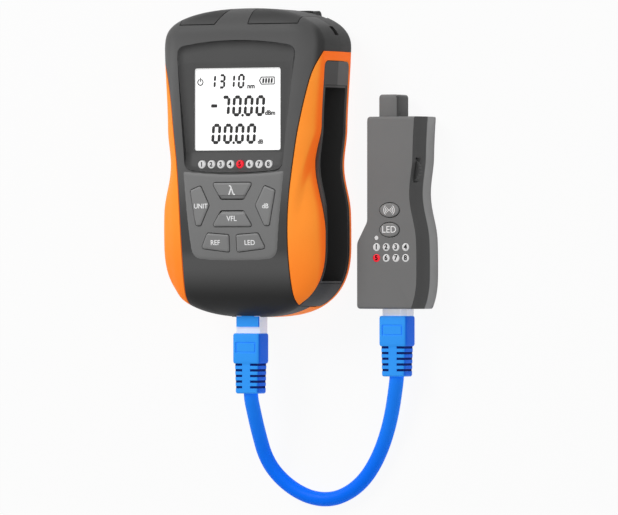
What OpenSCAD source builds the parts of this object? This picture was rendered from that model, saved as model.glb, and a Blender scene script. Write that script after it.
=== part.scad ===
// Handheld optical power meter with a visual fault locator, a cable-test remote that docks in its
// right flank, and the short patch lead that joins the two.
// Frame: millimetres. The meter lies on its back on z = 0, x = 0 is its middle, y = 0 is half way
// along it, +Y points to the fibre ports and +Z out of the display.

/* [Meter body] */
// Length of the meter from end to end
body_len = 132; // [124:1:142]
// Width of the meter across its belly
belly_w = 80.4; // [78:0.2:86]
// Depth of the meter from its back to the crown of the keypad
body_d = 38; // [37:0.5:42]
// Depth that the waist is drawn in on each flank
waist_in = 2; // [0.5:0.1:3]
// Depth of the long shallow dip of each flank above the waist
chest_in = 1.9; // [0.5:0.1:2.4]
// Depth of the ridge along each flank below the crown
ridge_drop = 21; // [20.6:0.1:21.4]
// Amount that the ridge stands out of each flank
flank_vee = 0.8; // [0.3:0.1:1.4]
// Rounding of the body's two ends, seen from the side
end_round = 11; // [9:0.5:12]
// Rounding along the edges of the back
back_round = 6; // [4:0.5:7]
// Thickness of the soft overmoulded grip layer
grip_t = 1.6; // [1.2:0.1:2]
// Thickness of the hard case wall under the grip layer
case_wall = 1.6; // [1.2:0.1:2]
// Place along the body where the grips end below the shoulders
grip_top_y = 47; // [44:0.5:50]

/* [Display] */
// Width of the visible display window
window_w = 41.5; // [38:0.5:43]
// Height of the visible display window
window_h = 34.7; // [32:0.1:36]
// Place of the window's centre along the body
window_y = 22.65; // [22:0.05:24]
// Depth of the window's face below the crown
window_drop = 4; // [3.5:0.1:4.5]
// Thickness of the bezel and the window
bezel_t = 1.5; // [1.2:0.1:1.8]
// Diameter of one numbered line lamp
lamp_d = 3.5; // [3:0.1:3.8]
// Distance between the numbered line lamps
lamp_pitch = 4.6; // [4.2:0.1:4.9]

/* [Keypad] */
// Travel of a key
key_travel = 0.8; // [0.4:0.1:0.8]
// Height that a key stands out of the keypad panel
key_rise = 0.7; // [0.3:0.1:1]
// Gap round a key in its opening
key_gap = 0.3; // [0.2:0.05:0.4]

/* [Ports] */
// Distance of each fibre port from the middle of the meter
port_x = 17; // [16:0.5:18]
// Diameter of the fibre ferrule that the ports take
ferrule_d = 2.5; // [1.25:0.05:2.5]
// Diametral clearance round the ferrule
ferrule_play = 0.04; // [0.03:0.01:0.1]
// Wall of the hinged port covers
cover_t = 1.8; // [1.5:0.1:2]
// Gap round each port cover
cover_gap = 0.3; // [0.25:0.05:0.4]

/* [Dock and remote] */
// Length of the remote's housing
remote_len = 81.2; // [78:0.2:82]
// Width of the remote across its belly
remote_w = 30.6; // [30:0.1:31]
// Depth of meter kept in front of and behind the docked remote
dock_cover = 10.25; // [10.2:0.05:10.5]
// Amount that the remote narrows above its step
remote_step = 4.8; // [3:0.1:6]
// Gap round the docked remote
dock_gap = 0.4; // [0.3:0.05:0.5]
// Wall of the dock tray
tray_wall = 1; // [0.8:0.1:1.1]
// Wall of the remote's housing
remote_wall = 1.8; // [1.5:0.1:2]

/* [Lead] */
// Diameter of the patch cable
cable_d = 6.2; // [5.5:0.1:6.2]
// Width of a boot at its front block
boot_w = 13; // [12.6:0.1:14]
// Length of a boot
boot_len = 25.6; // [24:0.1:27]

/* [Hidden] */
$fn = 32;

// Outline of the body
end_y = body_len / 2;
ridge_z = body_d - ridge_drop;
belly_y = 32 - end_y;
shoulder_y = end_y - 17.5;
waist_y = -3;
chest_y = 12;
waist_reach = 18;
chest_reach = 42;
flank_h = 10.7;
end_min_w = 1.5;
grip_waist_x = 25.4;
grip_waist_y = -38;
grip_rise = 11.7;
grip_lap = 5.5;
case_t = grip_t + case_wall;
big = 200;

// Display and keypad
window_z = body_d - window_drop;
bezel_top_y = end_y - 14.3;
bezel_corner_y = end_y - 17;
bezel_bottom_y = -4.4;
bezel_bottom_corner_y = -3;
bezel_top_w = 28.6;
bezel_bottom_w = 23.3;
bezel_corner_r = 4;
lamp_y = -0.8;
lamp_x = 0.1;
lamp_count = 8;
lit_lamp = 5;
remote_d = body_d - 2 * dock_cover;
board_z = ridge_z + remote_d / 2 + dock_gap + tray_wall + 0.5;
board_t = 1.4;
board_half_w = 31;
board_low_y = 22 - end_y;
board_top_y = end_y - 16;
slip = 0.1;
bezel_step = 0.4;
lamp_sink = 0.9;
lcd_t = 1.8;
lcd_lap = 2.5;
panel_top_y = -3;
panel_bottom_y = -41.8;
panel_top_w = 24;
panel_bottom_w = 20.4;
panel_corner_r = 8;
panel_rise = 0.35;
mat_t = 1;
mat_half_w = panel_top_w - 1.6;
mat_low_y = panel_bottom_y + 1.8;
mat_top_y = panel_top_y - 2.4;
dome_h = 0.7;
key_foot = board_z + board_t + mat_t + dome_h + key_travel + slip;
key_skirt = 0.9;
key_skirt_drop = 2.2;
key_edge = 0.4;

// Key outlines in their order: wavelength, unit, dB, fault locator, reference, lamp
wide_key = 9.7;
narrow_key = 5.4;
unit_pts = [[-20.4, -11.8], [-15.4, -9.9], [-11.2, -18.2], [-15.4, -26.8], [-17.6, -26.8]];
ref_pts = [[-12.2, -30], [-1.8, -30.7], [-1.8, -38], [-15.4, -36.4]];
key_pts = [
  [[-wide_key, -8.6], [wide_key, -8.6], [narrow_key, -15.6], [-narrow_key, -15.6]],
  unit_pts,
  flip(unit_pts),
  [[-narrow_key, -20.6], [narrow_key, -20.6], [wide_key, -27.2], [-wide_key, -27.2]],
  ref_pts,
  flip(ref_pts)
];
// Middles of the rubber domes under the keys, in the same order
dome_at = [[0, -12], [-16.4, -18], [16.4, -18], [0, -24], [-8, -34], [8, -34]];

// Fibre ports and their covers
port_z = ridge_z + 4;
seam_y = end_y - 7.5;
bulkhead_y = end_y - 11;
bulkhead_t = 2;
bulkhead_half_w = 28;
bulkhead_rise = 8.8;
bulkhead_low_z = 8.2;
flange_r = 6;
torch_r = 2.5;
cover_in_x = 5.2;
cover_out_x = 28.6;
cover_slant = 0.6;
hinge_y = end_y - 3.6;
hinge_z = 4.2;
barrel_r = 2.8;
pin_r = 0.8;
pin_play = 0.05;
barrel_len = 9.4;
barrel_x = 16.2;
ear_x = [10, 22.4];
ear_t = 2.4;
port_nose_y = end_y - 3;
ferrule_depth = 8;
lanyard_x = belly_w / 2 - 3.2;
lanyard_y = end_y - 10.6;

// Dock and remote: the remote's flank continues the meter's, so both come from the same skin
dock_low_y = 15.7 - end_y;
remote_x0 = belly_w / 2 - remote_w;
remote_low_y = dock_low_y + dock_gap;
remote_top_y = remote_low_y + remote_len;
remote_low_z = ridge_z - remote_d / 2;
remote_top_z = ridge_z + remote_d / 2;
remote_at = [38.8, -12.1, -remote_low_z];
remote_mid_x = remote_x0 + 14.9;
step_low_y = remote_low_y + 27.9;
step_high_y = remote_low_y + 36.8;
tip_w = 8.8;
tip_d = remote_d - 6.6;
tip_len = 9.4;
tip_x = 8.9;
liner_top_y = remote_top_y + dock_gap + tip_len + 1.7;
liner_low_y = 5 - end_y;
liner_h = remote_d + 4.3;
liner_in_x = 20;
dock_in_x = 25;
board_rz = ridge_z + 2.2;
board_rt = 1.2;

// Buttons, lamps and wheel of the remote
tone_y = remote_low_y + 41.7;
lamp_button_y = remote_low_y + 33.4;
button_w = 9.6;
button_h = 6.2;
button_travel = 0.6;
button_rise = 0.6;
button_x = remote_x0 + 15.9;
status_x = remote_x0 + 9.6;
status_y = remote_low_y + 30;
status_d = 1.8;
remote_lamp_y = remote_low_y + 26.1;
remote_lamp_pitch = 4.6;
remote_lamp_d = 3.3;
wheel_y = remote_low_y + 58.6;
wheel_z = ridge_z + 4.9;
wheel_t = 2.6;
wheel_r = 5.6;
wheel_out = 0.9;
wheel_slot = 10.4;
wheel_x = half_w(wheel_y) - flank_vee / 2 + wheel_out - wheel_r;
axle_r = 1;
remote_cell_d = remote_d / 2 - 0.75;
remote_cell_len = 28.5;

// Sockets
jack_x = -1;
jack_z = ridge_z + 3;
jack_w = 15.4;
jack_h = remote_d - 4.5;
jack_len = 17;
jack_sink = 0.4;
jack_slope_y = 2;
jack_slope_z = 4.2;
plug_w = 11.7;
plug_h = 6.6;
plug_in = 12.4;
latch_w = 5.8;
latch_t = 1.4;
usb_x = -12;
usb_z = 8;
usb_w = 7.6;
usb_h = 2.8;
usb_len = 5.6;
usb_y = 1.6 - end_y;

// Battery compartment
door_top_y = 8;
door_low_y = -48;
door_gap = 0.25;
door_edge_r = (case_t - 0.15) / 2;
door_axis_y = door_top_y - door_gap - door_edge_r;
door_axis_z = case_t - door_edge_r;
cell_d = 10.5;
cell_len = 44.5;
cell_pitch = 11;
cell_x = -24.6;
cell_y = door_low_y + 4;
cell_z = case_t + 1.2 + cell_d / 2;
door_x = cell_x - 4.6;
door_w = 2 * cell_pitch + 10.2;

// Screws
screw_boss_r = 3;
screw_head_r = 2.6;
screw_r = 1.2;
screw_sink = 1.6;
remote_screw_r = 2.1;

// Patch lead: the remote's end lies where the remote does
meter_boot_y = -6.6 - end_y;
remote_lies_y = remote_low_y + remote_at[1];
remote_lies_x = remote_mid_x + remote_at[0];
remote_lies_z = ridge_z + remote_at[2];
remote_boot_y = remote_lies_y - 3;
boot_h = 9.4;
boot_edge_r = 1.6;
block_len = 12;
block_step = 1.4;
tail_w = boot_w - 1.2;
tail_h = boot_h - 1;
tail_narrows = 0.8;
slot_n = 5;
slot_w = 1;
slot_start = 2.6;
slot_side = 1.2;
spine_w = 3.8;
slot_in_z = 0.7;
pad_w = 9.6;
pad_len = 4.6;
pad_drop = 0.4;
cable_z = cable_d / 2 + 0.1;
cable_route = [
  [-1, -97, 20], [-1, -101, 19.3], [-1, -106, 17.2], [-1, -112, 14.4], [-0.9, -118, 11.4], [-0.4, -123.5, 8.9],
  [1.2, -128.6, 6.8], [4, -133, 5.2], [8, -136.9, 4.1], [13, -140.1, 3.5], [18.8, -142.4, cable_z],
  [25, -143.3, cable_z], [31, -142.7, cable_z], [36.6, -140.6, cable_z], [41.6, -137.4, cable_z],
  [45.9, -133.2, cable_z], [49.6, -128.2, 3.4], [52.8, -122.6, 3.8], [55.6, -116.6, 4.5], [58, -110.4, 5.4],
  [60, -104.2, 6.5], [61.6, -98.2, 7.6], [62.8, -92.6, 8.4], [63.3, -89, 8.7]
];

function clip(v, lo, hi) = max(lo, min(hi, v));
function bump(d, reach) = abs(d) >= reach ? 0 : pow(cos(90 * d / reach), 2);
function fade(d, n) = d <= 0 ? 1 : d >= 1 ? 0 : pow(1 - pow(d, n), 1 / n);
function round_off(d, r) = d <= 0 ? 0 : r * (1 - sqrt(max(0, 1 - pow(min(d, r) / r, 2))));
function flip(p) = [for (i = [len(p) - 1:-1:0]) [-p[i][0], p[i][1]]];

// Half width of the body at the ridge, height of its crown and of its back, along y
function flank_x(y) = belly_w / 2 - chest_in * bump(y - chest_y, chest_reach) - waist_in * bump(y - waist_y, waist_reach);
function half_w(y) = flank_x(y) * (y > 0 ? fade((y - shoulder_y) / (end_y - shoulder_y), 2.35)
                                         : fade((belly_y - y) / (end_y + belly_y), 2.6));
function crown_drop(y) = y > -20 ? 3.5 * pow((y + 20) / 86, 2) : 7.4 * pow((y + 20) / 46, 2);
function front_z(y) = body_d - crown_drop(y) - round_off(abs(y) - (end_y - end_round), end_round);
function back_z(y) = round_off(abs(y) - (end_y - back_round + 1), back_round - 1);

// Inner edge of a grip on the front: it swings in from the shoulder to the waist
function grip_x(y) = grip_waist_x + (y > grip_waist_y ? grip_rise * pow((y - grip_waist_y) / 84, 2)
                                                      : 0.7 * pow((y - grip_waist_y) / 24, 2));

// One cross-section of the body at y, taken t under the skin: a crowned front, a slope rounded over
// into the flank's two facets, and a rounded edge to the flat back
function half_section(y, t, crown_n, back_n) = let (
    w = max(end_min_w, half_w(y) - t),
    f = front_z(y) - t,
    b = back_z(y) + t,
    v = flank_vee * min(1, w / 30),
    zf = ridge_z + flank_h * clip((f - ridge_z) / 16, 0, 1),
    zb = ridge_z - flank_h * clip((ridge_z - b) / 15, 0, 1),
    crown_x = 0.62 * w,
    crown_z = f - 0.5,
    c = min(back_round, w / 2)
  ) concat(
    [[0, f]],
    [for (i = [0:crown_n]) let (a = 90 * i / crown_n)
      [crown_x + (w - v - crown_x) * sin(a), zf + (crown_z - zf) * cos(a)]],
    [[w, ridge_z]],
    [for (i = [0:back_n]) let (a = 90 * i / back_n) [w - v - c + c * cos(a), b + (zb - b) * (1 - sin(a))]]);

module slab(y0, y1, t, crown_n, back_n) {
  rings = [for (y = [y0, y1], side = [1, -1], p = half_section(y, t, crown_n, back_n)) [side * p[0], y, p[1]]];
  hull() polyhedron(points = rings, faces = [[for (i = [0:len(rings) - 1]) i]]);
}

// Places of the cross-sections along y: they crowd towards both ends
loft_n = 12;
function station(i) = end_y * sin(90 * i / loft_n);

// The body's form t under its skin, lofted through every skip-th cross-section
module skin(t = 0, skip = 1, crown_n = 4, back_n = 3) {
  reach = end_y - t;
  for (i = [-loft_n:skip:loft_n - skip]) {
    y0 = clip(station(i), -reach, reach);
    y1 = clip(station(i + skip), -reach, reach);
    if (y1 > y0) slab(y0, y1, t, crown_n, back_n);
  }
}

module mirrored() {
  children();
  mirror([1, 0, 0]) children();
}

module rounded(r) {
  offset(r = r, $fn = 16) offset(delta = -r) children();
}

// Where the grips lie: outside grip_x on the front, and lapped round the edge of the back
module grip_zone() {
  ys = concat([-end_y - 2], [for (i = [0.5 - loft_n:loft_n]) if (station(i) < grip_top_y - 1) station(i)], [grip_top_y]);
  translate([0, 0, ridge_z]) linear_extrude(body_d)
    polygon(concat([for (y = ys) [grip_x(y), y]], [[big / 2, grip_top_y], [big / 2, -end_y - 2]]));
  translate([0, 0, -1]) linear_extrude(ridge_z + 1)
    polygon(concat([for (y = ys) [half_w(max(y, -end_y)) - grip_lap, y]],
                   [[big / 2, grip_top_y], [big / 2, -end_y - 2]]));
}

module grip_layer() {
  difference() {
    skin(0);
    skin(grip_t);
  }
}

// Outline of the dock's liner on the right flank
module liner_zone() {
  translate([liner_in_x, 0, 0]) rotate([90, 0, 90]) linear_extrude(big / 4)
    translate([liner_low_y, ridge_z - liner_h / 2]) rounded(3) square([liner_top_y - liner_low_y, liner_h]);
}

// Plan of the remote, g bigger all round, where it lies in the dock
module remote_plan(g) {
  x = remote_x0 - g;
  polygon([
    [x, remote_low_y - g], [x, step_low_y], [x + remote_step, step_high_y],
    [x + remote_step, remote_top_y + g], [big / 3, remote_top_y + g], [big / 3, remote_low_y - g]]);
}

module tip_plan(g) {
  translate([remote_x0 + tip_x - g, remote_top_y - 1]) square([tip_w + 2 * g, tip_len + 1 + g]);
}

module dock_space(g) {
  translate([0, 0, remote_low_z - g]) linear_extrude(remote_d + 2 * g) {
    remote_plan(g);
    tip_plan(g);
  }
}

// Space that a port cover fills, g smaller all round; the left one has a slanted inner edge
module cover_space(side, g) {
  slant = side < 0 ? cover_slant : 0;
  in_x = cover_in_x + g;
  out_x = cover_out_x - g;
  difference() {
    translate([0, 0, hinge_z]) linear_extrude(big)
      polygon([[side * (in_x + slant * (end_y + 2 - seam_y)), seam_y + g], [side * out_x, seam_y + g],
               [side * out_x, end_y + 2], [side * in_x, end_y + 2]]);
    if (g > 0) translate([-big / 2, hinge_y, hinge_z]) rotate([0, 90, 0]) cylinder(r = barrel_r + g, h = big);
  }
}

// Everything that both halves of the case leave open
module case_openings() {
  for (side = [-1, 1]) cover_space(side, 0);
  translate([0, 0, ridge_z]) dock_cut();
  translate([jack_x - jack_w / 2 - slip, -end_y - 1, jack_z - jack_h / 2 - slip])
    cube([jack_w + 2 * slip, jack_len + 2, jack_h + 2 * slip]);
  translate([0, end_y + 1, port_z]) rotate([90, 0, 0]) cylinder(r = torch_r + slip, h = 10);
  translate([usb_x - usb_w / 2 - slip, -end_y - 1, usb_z - usb_h / 2])
    cube([usb_w + 2 * slip, usb_len + 3, usb_h + slip]);
}

module dock_cut() {
  translate([0, 0, -ridge_z]) intersection() {
    dock_space(dock_gap + tray_wall);
    translate([dock_in_x, -end_y, 0]) cube([big, body_len, body_d]);
  }
}

// Room for the right cover's barrel, open to the back and to the end
module hinge_clearance() {
  translate([cover_in_x - cover_gap, hinge_y - barrel_r - cover_gap, -1])
    cube([cover_out_x - cover_in_x - 3 * cover_gap, big, hinge_z + 2.5]);
}

module case_blank() {
  skin(grip_t);
  difference() {
    skin(0);
    mirrored() grip_zone();
  }
}

// ---- Case and grips ----
module bezel_outline(g = 0) {
  arc = [for (i = [-8:8]) i / 8];
  offset(delta = g) rounded(bezel_corner_r) polygon(concat(
    [for (a = arc) [a * bezel_top_w, bezel_top_y - (bezel_top_y - bezel_corner_y) * a * a]],
    [for (a = arc) [-a * bezel_bottom_w,
      bezel_bottom_y + (bezel_bottom_corner_y - bezel_bottom_y) * a * a]]));
}

module panel_outline() {
  rounded(panel_corner_r) polygon([[-panel_top_w, panel_top_y + 12], [panel_top_w, panel_top_y + 12],
    [panel_bottom_w, panel_bottom_y], [-panel_bottom_w, panel_bottom_y]]);
}

module key_openings() {
  linear_extrude(big) for (k = [0:5]) offset(delta = key_gap) key_outline(k);
}

module front_case() color("#5c5c5c") difference() {
  union() {
    difference() {
      case_blank();
      skin(case_t, 2, 2, 2);
    }
    intersection() {
      difference() {
        skin(-panel_rise, 1, 4, 2);
        skin(grip_t, 2, 3, 2);
      }
      linear_extrude(big) intersection() {
        panel_outline();
        translate([-big / 2, panel_bottom_y - 1]) square([big, panel_top_y - panel_bottom_y + 1]);
      }
    }
  }
  translate([-big / 2, -big / 2, ridge_z - big]) cube([big, big, big]);
  translate([0, 0, ridge_z + 8]) linear_extrude(big) bezel_outline(slip);
  translate([0, 0, ridge_z + 8]) key_openings();
  case_openings();
  lanyard_slot();
}

module rear_case() color("#4e4e4e") {
  difference() {
    case_blank();
    skin(case_t, 2, 2, 2);
    translate([-big / 2, -big / 2, ridge_z]) cube([big, big, big]);
    case_openings();
    lanyard_slot();
    mirrored() hinge_clearance();
    door_plan(0, -1, case_t + 2);
    case_screw_at() screw_hole();
  }
  case_screw_at() difference() {
    translate([0, 0, case_t - 0.2]) cylinder(r = screw_boss_r, h = board_z - case_t, $fn = 16);
    screw_hole();
  }
  for (side = [-1, 1]) hinge_ears(side);
}

module screw_hole() {
  translate([0, 0, -1]) cylinder(r = screw_r + slip, h = big / 4, $fn = 16);
  translate([0, 0, -1]) cylinder(r = screw_head_r + 0.2, h = screw_sink + 1, $fn = 20);
}
module case_screw_at() {
  translate([-27, end_y - 20, 0]) children();
  translate([27, end_y - 17, 0]) children();
  translate([-24, 12 - end_y, 0]) children();
  translate([20, 9 - end_y, 0]) children();
}
module case_screws() color("silver") case_screw_at() difference() {
  union() {
    translate([0, 0, 0.4]) cylinder(r = screw_head_r, h = screw_sink - 0.4);
    translate([0, 0, screw_sink - 0.1]) cylinder(r = screw_r, h = 12);
  }
  for (a = [0, 90]) rotate(a) translate([-1.6, -0.3, 0]) cube([3.2, 0.6, 1]);
}

module lanyard_slot() {
  translate([lanyard_x, lanyard_y, ridge_z]) rotate([0, 0, 45]) translate([-4, -2.4, -1.6]) cube([8, 4.8, 3.2]);
}

module grip_body() {
  intersection() {
    grip_layer();
    grip_zone();
  }
}

module grip_right() color("darkorange") difference() {
  grip_body();
  liner_zone();
  case_openings();
}

module grip_left() color("darkorange") difference() {
  mirror([1, 0, 0]) grip_body();
  case_openings();
}

// Liner of the dock: the stretch of the grip layer round the remote's pocket
module dock_frame() color("#666666") difference() {
  intersection() {
    grip_body();
    liner_zone();
  }
  dock_space(dock_gap + tray_wall);
}

// Tray that the remote slides into. The socket above it is closed towards the flank, so the
// remote's probe tip is tucked in first
module dock_tray() color("#2c2c2c") difference() {
  intersection() {
    dock_space(dock_gap + tray_wall);
    skin(0.3, 1, 2, 2);
  }
  dock_space(dock_gap);
}

// ---- Display ----
// Side profile of the bezel: level round the window, rising to the keypad panel below it
module bezel_plate(t) {
  low = front_z(bezel_bottom_y) - bezel_step;
  lamp_z = low - lamp_sink;
  level_low_y = window_y - window_h / 2 - lcd_lap;
  level_top_y = window_y + window_h / 2 + lcd_lap;
  face = [[bezel_top_y + 1, window_z - 0.8], [level_top_y, window_z], [level_low_y, window_z],
    [lamp_y, lamp_z], [bezel_bottom_y - 1, low]];
  rotate([90, 0, 90]) linear_extrude(big, center = true)
    polygon(concat(face, [for (i = [len(face) - 1:-1:0]) face[i] - [0, t]]));
}

module window_outline(g = 0) {
  translate([-window_w / 2 - g, window_y - window_h / 2 - g]) square([window_w + 2 * g, window_h + 2 * g]);
}

module lamp_at(from, to) {
  for (i = [from:to]) translate([lamp_x + lamp_pitch * (i - (lamp_count + 1) / 2), lamp_y, 0]) children();
}

module display_bezel() color("#4a4a4a") difference() {
  intersection() {
    bezel_plate(bezel_t);
    linear_extrude(big) bezel_outline(0);
  }
  linear_extrude(big) window_outline(slip);
  lamp_at(1, lamp_count) cylinder(d = lamp_d + 2 * slip, h = big);
}

module display_window() color("#f4f6f4") translate([0, 0, window_z - bezel_t]) linear_extrude(bezel_t) window_outline();

module lcd_panel() color("#dfe4df") translate([0, 0, window_z - bezel_t - lcd_t])
  linear_extrude(lcd_t) window_outline(lcd_lap);

module backlight() color("white") translate([0, 0, board_z + board_t])
  linear_extrude(window_z - bezel_t - lcd_t - board_z - board_t) window_outline(1.5);

module line_lamp() {
  translate([0, 0, board_z + board_t])
    cylinder(d = lamp_d, h = front_z(bezel_bottom_y) - bezel_step - lamp_sink + slip - board_z - board_t);
}
module line_lamps() color("#d8d8d8") {
  lamp_at(1, lit_lamp - 1) line_lamp();
  lamp_at(lit_lamp + 1, lamp_count) line_lamp();
}
module line_lamp_lit() color("red") lamp_at(lit_lamp, lit_lamp) line_lamp();

// ---- Circuit board and keypad ----
module main_board() color("#1f6b3a") difference() {
  translate([-board_half_w, board_low_y, board_z]) cube([2 * board_half_w, board_top_y - board_low_y, board_t]);
  case_screw_at() translate([0, 0, board_z - 1]) cylinder(r = screw_r + 2, h = 4);
}

module keypad_mat() color("#3a3a3a") translate([0, 0, board_z + board_t]) {
  translate([-mat_half_w, mat_low_y, 0]) cube([2 * mat_half_w, mat_top_y - mat_low_y, mat_t]);
  for (p = dome_at) translate([p[0], p[1], mat_t - slip]) cylinder(r1 = 3, r2 = 2.2, h = dome_h + slip);
}

module key_outline(k) offset(r = 1, $fn = 12) offset(delta = -1) polygon(key_pts[k]);
function mean_y(pts, i = 0) = i == len(pts) ? 0 : pts[i][1] / len(pts) + mean_y(pts, i + 1);

// A key: its chamfered cap over a stem down to the dome, and the skirt that holds it under the case.
// The two outer keys lie where the crown falls away
module key(k) {
  crown = front_z(mean_y(key_pts[k]));
  outer_drop = k == 1 || k == 2 ? 0.3 : 0;
  top = crown + panel_rise + key_rise - outer_drop;
  hull() {
    translate([0, 0, key_foot]) linear_extrude(top - key_foot - key_edge) key_outline(k);
    translate([0, 0, top - 0.1]) linear_extrude(0.1) offset(delta = -key_edge) key_outline(k);
  }
  translate([0, 0, crown - case_t - key_skirt_drop]) linear_extrude(1) offset(delta = key_skirt) key_outline(k);
}
module key_wavelength() color("#777777") key(0);
module key_unit() color("#777777") key(1);
module key_db() color("#777777") key(2);
module key_vfl() color("#777777") key(3);
module key_ref() color("#777777") key(4);
module key_led() color("#777777") key(5);

// ---- Fibre ports at the top end ----
// along_y draws a piece that is turned on a lathe: its axis runs up the body from y
module along_y(x, y, z) translate([x, y, z]) rotate([-90, 0, 0]) children();

module port_bulkhead() color("#3c3c3c") difference() {
  translate([-bulkhead_half_w, bulkhead_y, bulkhead_low_z])
    cube([2 * bulkhead_half_w, bulkhead_t, port_z + bulkhead_rise - bulkhead_low_z]);
  for (side = [-1, 1]) along_y(side * port_x, bulkhead_y - 1, port_z) cylinder(r = 4.6, h = bulkhead_t + 2);
  along_y(0, bulkhead_y - 1, port_z) cylinder(r = 1.6, h = bulkhead_t + 2);
}

// Threaded adapter: flange on the bulkhead, nose with a key notch and the ferrule's bore
module adapter(nose_r) difference() {
  union() {
    along_y(0, bulkhead_y - 3, 0) cylinder(r = 4.5, h = port_nose_y - bulkhead_y + 3 - 4);
    along_y(0, bulkhead_y + bulkhead_t, 0) cylinder(r = flange_r, h = 1.5);
    along_y(0, bulkhead_y + bulkhead_t, 0) cylinder(r = nose_r, h = port_nose_y - bulkhead_y - bulkhead_t);
  }
  along_y(0, port_nose_y - ferrule_depth, 0) cylinder(d = ferrule_d + ferrule_play, h = ferrule_depth + 1);
  translate([-1, port_nose_y - 2.5, nose_r - 1.2]) cube([2, 3, 3]);
}
module power_port() color("silver") translate([-port_x, 0, port_z]) adapter(4);
module vfl_port() color("silver") translate([port_x, 0, port_z]) adapter(3.6);
module light_detector() color("gold") translate([-port_x, 0, port_z]) {
  along_y(0, bulkhead_y - 7.6, 0) cylinder(r = 2.7, h = 4.6);
  along_y(0, bulkhead_y - 8.6, 0) cylinder(r = 3.4, h = 1);
}
module vfl_laser() color("#b08d57") translate([port_x, 0, port_z]) {
  along_y(0, bulkhead_y - 11, 0) cylinder(r = 3.2, h = 8);
}

module hinge_ears(side) {
  for (x = ear_x) translate([side * x - ear_t / 2, hinge_y, hinge_z]) difference() {
    union() {
      rotate([0, 90, 0]) cylinder(r = barrel_r - 0.4, h = ear_t, $fn = 24);
      translate([0, -8, 0.6 - hinge_z]) cube([ear_t, 8, hinge_z - 0.6 + barrel_r - 0.4]);
    }
    translate([-1, 0, 0]) rotate([0, 90, 0]) cylinder(r = pin_r + pin_play, h = 5, $fn = 24);
  }
}

module cover_pins() color("silver") for (side = [-1, 1])
  translate([side * barrel_x - barrel_len / 2 - 2.7, hinge_y, hinge_z]) rotate([0, 90, 0])
    cylinder(r = pin_r, h = barrel_len + 5.4);

// Hinged dust cover: a cap cut from the body's own end, with cheeks and a barrel on its pin
module port_cover(side) {
  difference() {
    union() {
      intersection() {
        difference() {
          skin(0);
          skin(cover_t, 1, 3, 2);
        }
        cover_space(side, cover_gap);
      }
      intersection() {
        skin(0.6, 1, 3, 2);
        cover_space(side, cover_gap);
        for (x = [cover_in_x + 3.6, cover_out_x - 4.6])
          translate([side * x - 0.6, seam_y + 2.4, hinge_z]) cube([1.2, 20, big]);
      }
      translate([side * barrel_x - barrel_len / 2, hinge_y, hinge_z]) {
        rotate([0, 90, 0]) cylinder(r = barrel_r - 0.4, h = barrel_len, $fn = 24);
        cube([barrel_len, end_y - hinge_y - 0.9, barrel_r + 1.6]);
      }
    }
    translate([-big / 2, hinge_y, hinge_z]) rotate([0, 90, 0]) cylinder(r = pin_r + pin_play, h = big);
  }
}
module port_cover_left() color("#4c4c4c") port_cover(-1);
module port_cover_right() color("#4c4c4c") port_cover(1);

module torch_lens() color("#e8f0f4") {
  along_y(0, end_y - 6.4, port_z) cylinder(r = torch_r, h = 5.4);
  translate([0, end_y - 1, port_z]) intersection() {
    sphere(r = torch_r);
    along_y(0, 0, 0) cylinder(r = torch_r, h = 0.9);
  }
}
module torch_led() color("white") along_y(0, bulkhead_y - 2.4, port_z) {
  cylinder(r = 1.5, h = end_y - 6.5 - bulkhead_y + 2.4);
  cylinder(r = 2.4, h = 2.3);
}

// ---- Sockets at the bottom end ----
module socket(w, h, len, wall) difference() {
  translate([-w / 2, 0, -h / 2]) cube([w, len, h]);
  translate([-w / 2 + wall, -1, -h / 2 + wall]) cube([w - 2 * wall, len - wall + 1, h - 2 * wall]);
}
module jack() difference() {
  socket(jack_w, jack_h, jack_len - jack_sink, (jack_w - plug_w) / 2 - 0.2);
  translate([-3.2, -1, 0]) cube([6.4, 12, jack_h / 2 - 1.2]);
}
module meter_jack() color("#2a2a2a") translate([jack_x, jack_sink - end_y, jack_z]) difference() {
  jack();
  translate([-jack_w, 0, 0]) rotate([90, 0, 90]) linear_extrude(2 * jack_w) polygon([
    [-jack_slope_y, jack_h / 2 - 2 * jack_slope_z], [2 * jack_slope_y, jack_h / 2 + jack_slope_z],
    [-jack_slope_y, jack_h / 2 + jack_slope_z]]);
}
module usb_socket() color("silver") translate([usb_x, usb_y, usb_z]) socket(usb_w, usb_h, usb_len, 0.3);

// ---- Battery compartment ----
module door_plan(g, z, h) {
  translate([door_x + g, door_low_y + g, z]) cube([door_w - 2 * g, door_top_y - door_low_y - 2 * g, h]);
}
// The door's top edge is round about the axis that it tilts on, and two tabs hook over the case wall
module battery_door() color("#4a4a4a") {
  difference() {
    union() {
      intersection() {
        door_plan(door_gap, case_t - 2 * door_edge_r, 2 * door_edge_r);
        translate([-big / 2, -big / 2, 0]) cube([big, big / 2 + door_axis_y, big]);
      }
      translate([door_x + door_gap, door_axis_y, door_axis_z]) rotate([0, 90, 0])
        cylinder(r = door_edge_r, h = door_w - 2 * door_gap);
    }
    for (i = [0:5]) translate([door_x + door_w / 2 - 7, door_low_y + 4 + 2 * i, -0.4]) cube([14, 0.9, 1]);
  }
  for (x = [door_x + 4, door_x + door_w - 9]) {
    translate([x, door_top_y - 3.6, case_t - 0.5]) cube([5, 3.3, 1.5]);
    translate([x, door_top_y - 3.6, case_t + 0.2]) cube([5, 5.4, 0.8]);
  }
}
module battery_tray() color("#3a3a3a") difference() {
  translate([cell_x - cell_d / 2 - 1.2, cell_y - 3.4, case_t + 1.2]) cube([3 * cell_pitch + 2, cell_len + 6.8, cell_d - 1]);
  translate([cell_x - cell_d / 2 - 0.2, cell_y - 2.4, case_t - 1]) cube([3 * cell_pitch, cell_len + 4.8, cell_d + 3]);
}
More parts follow.
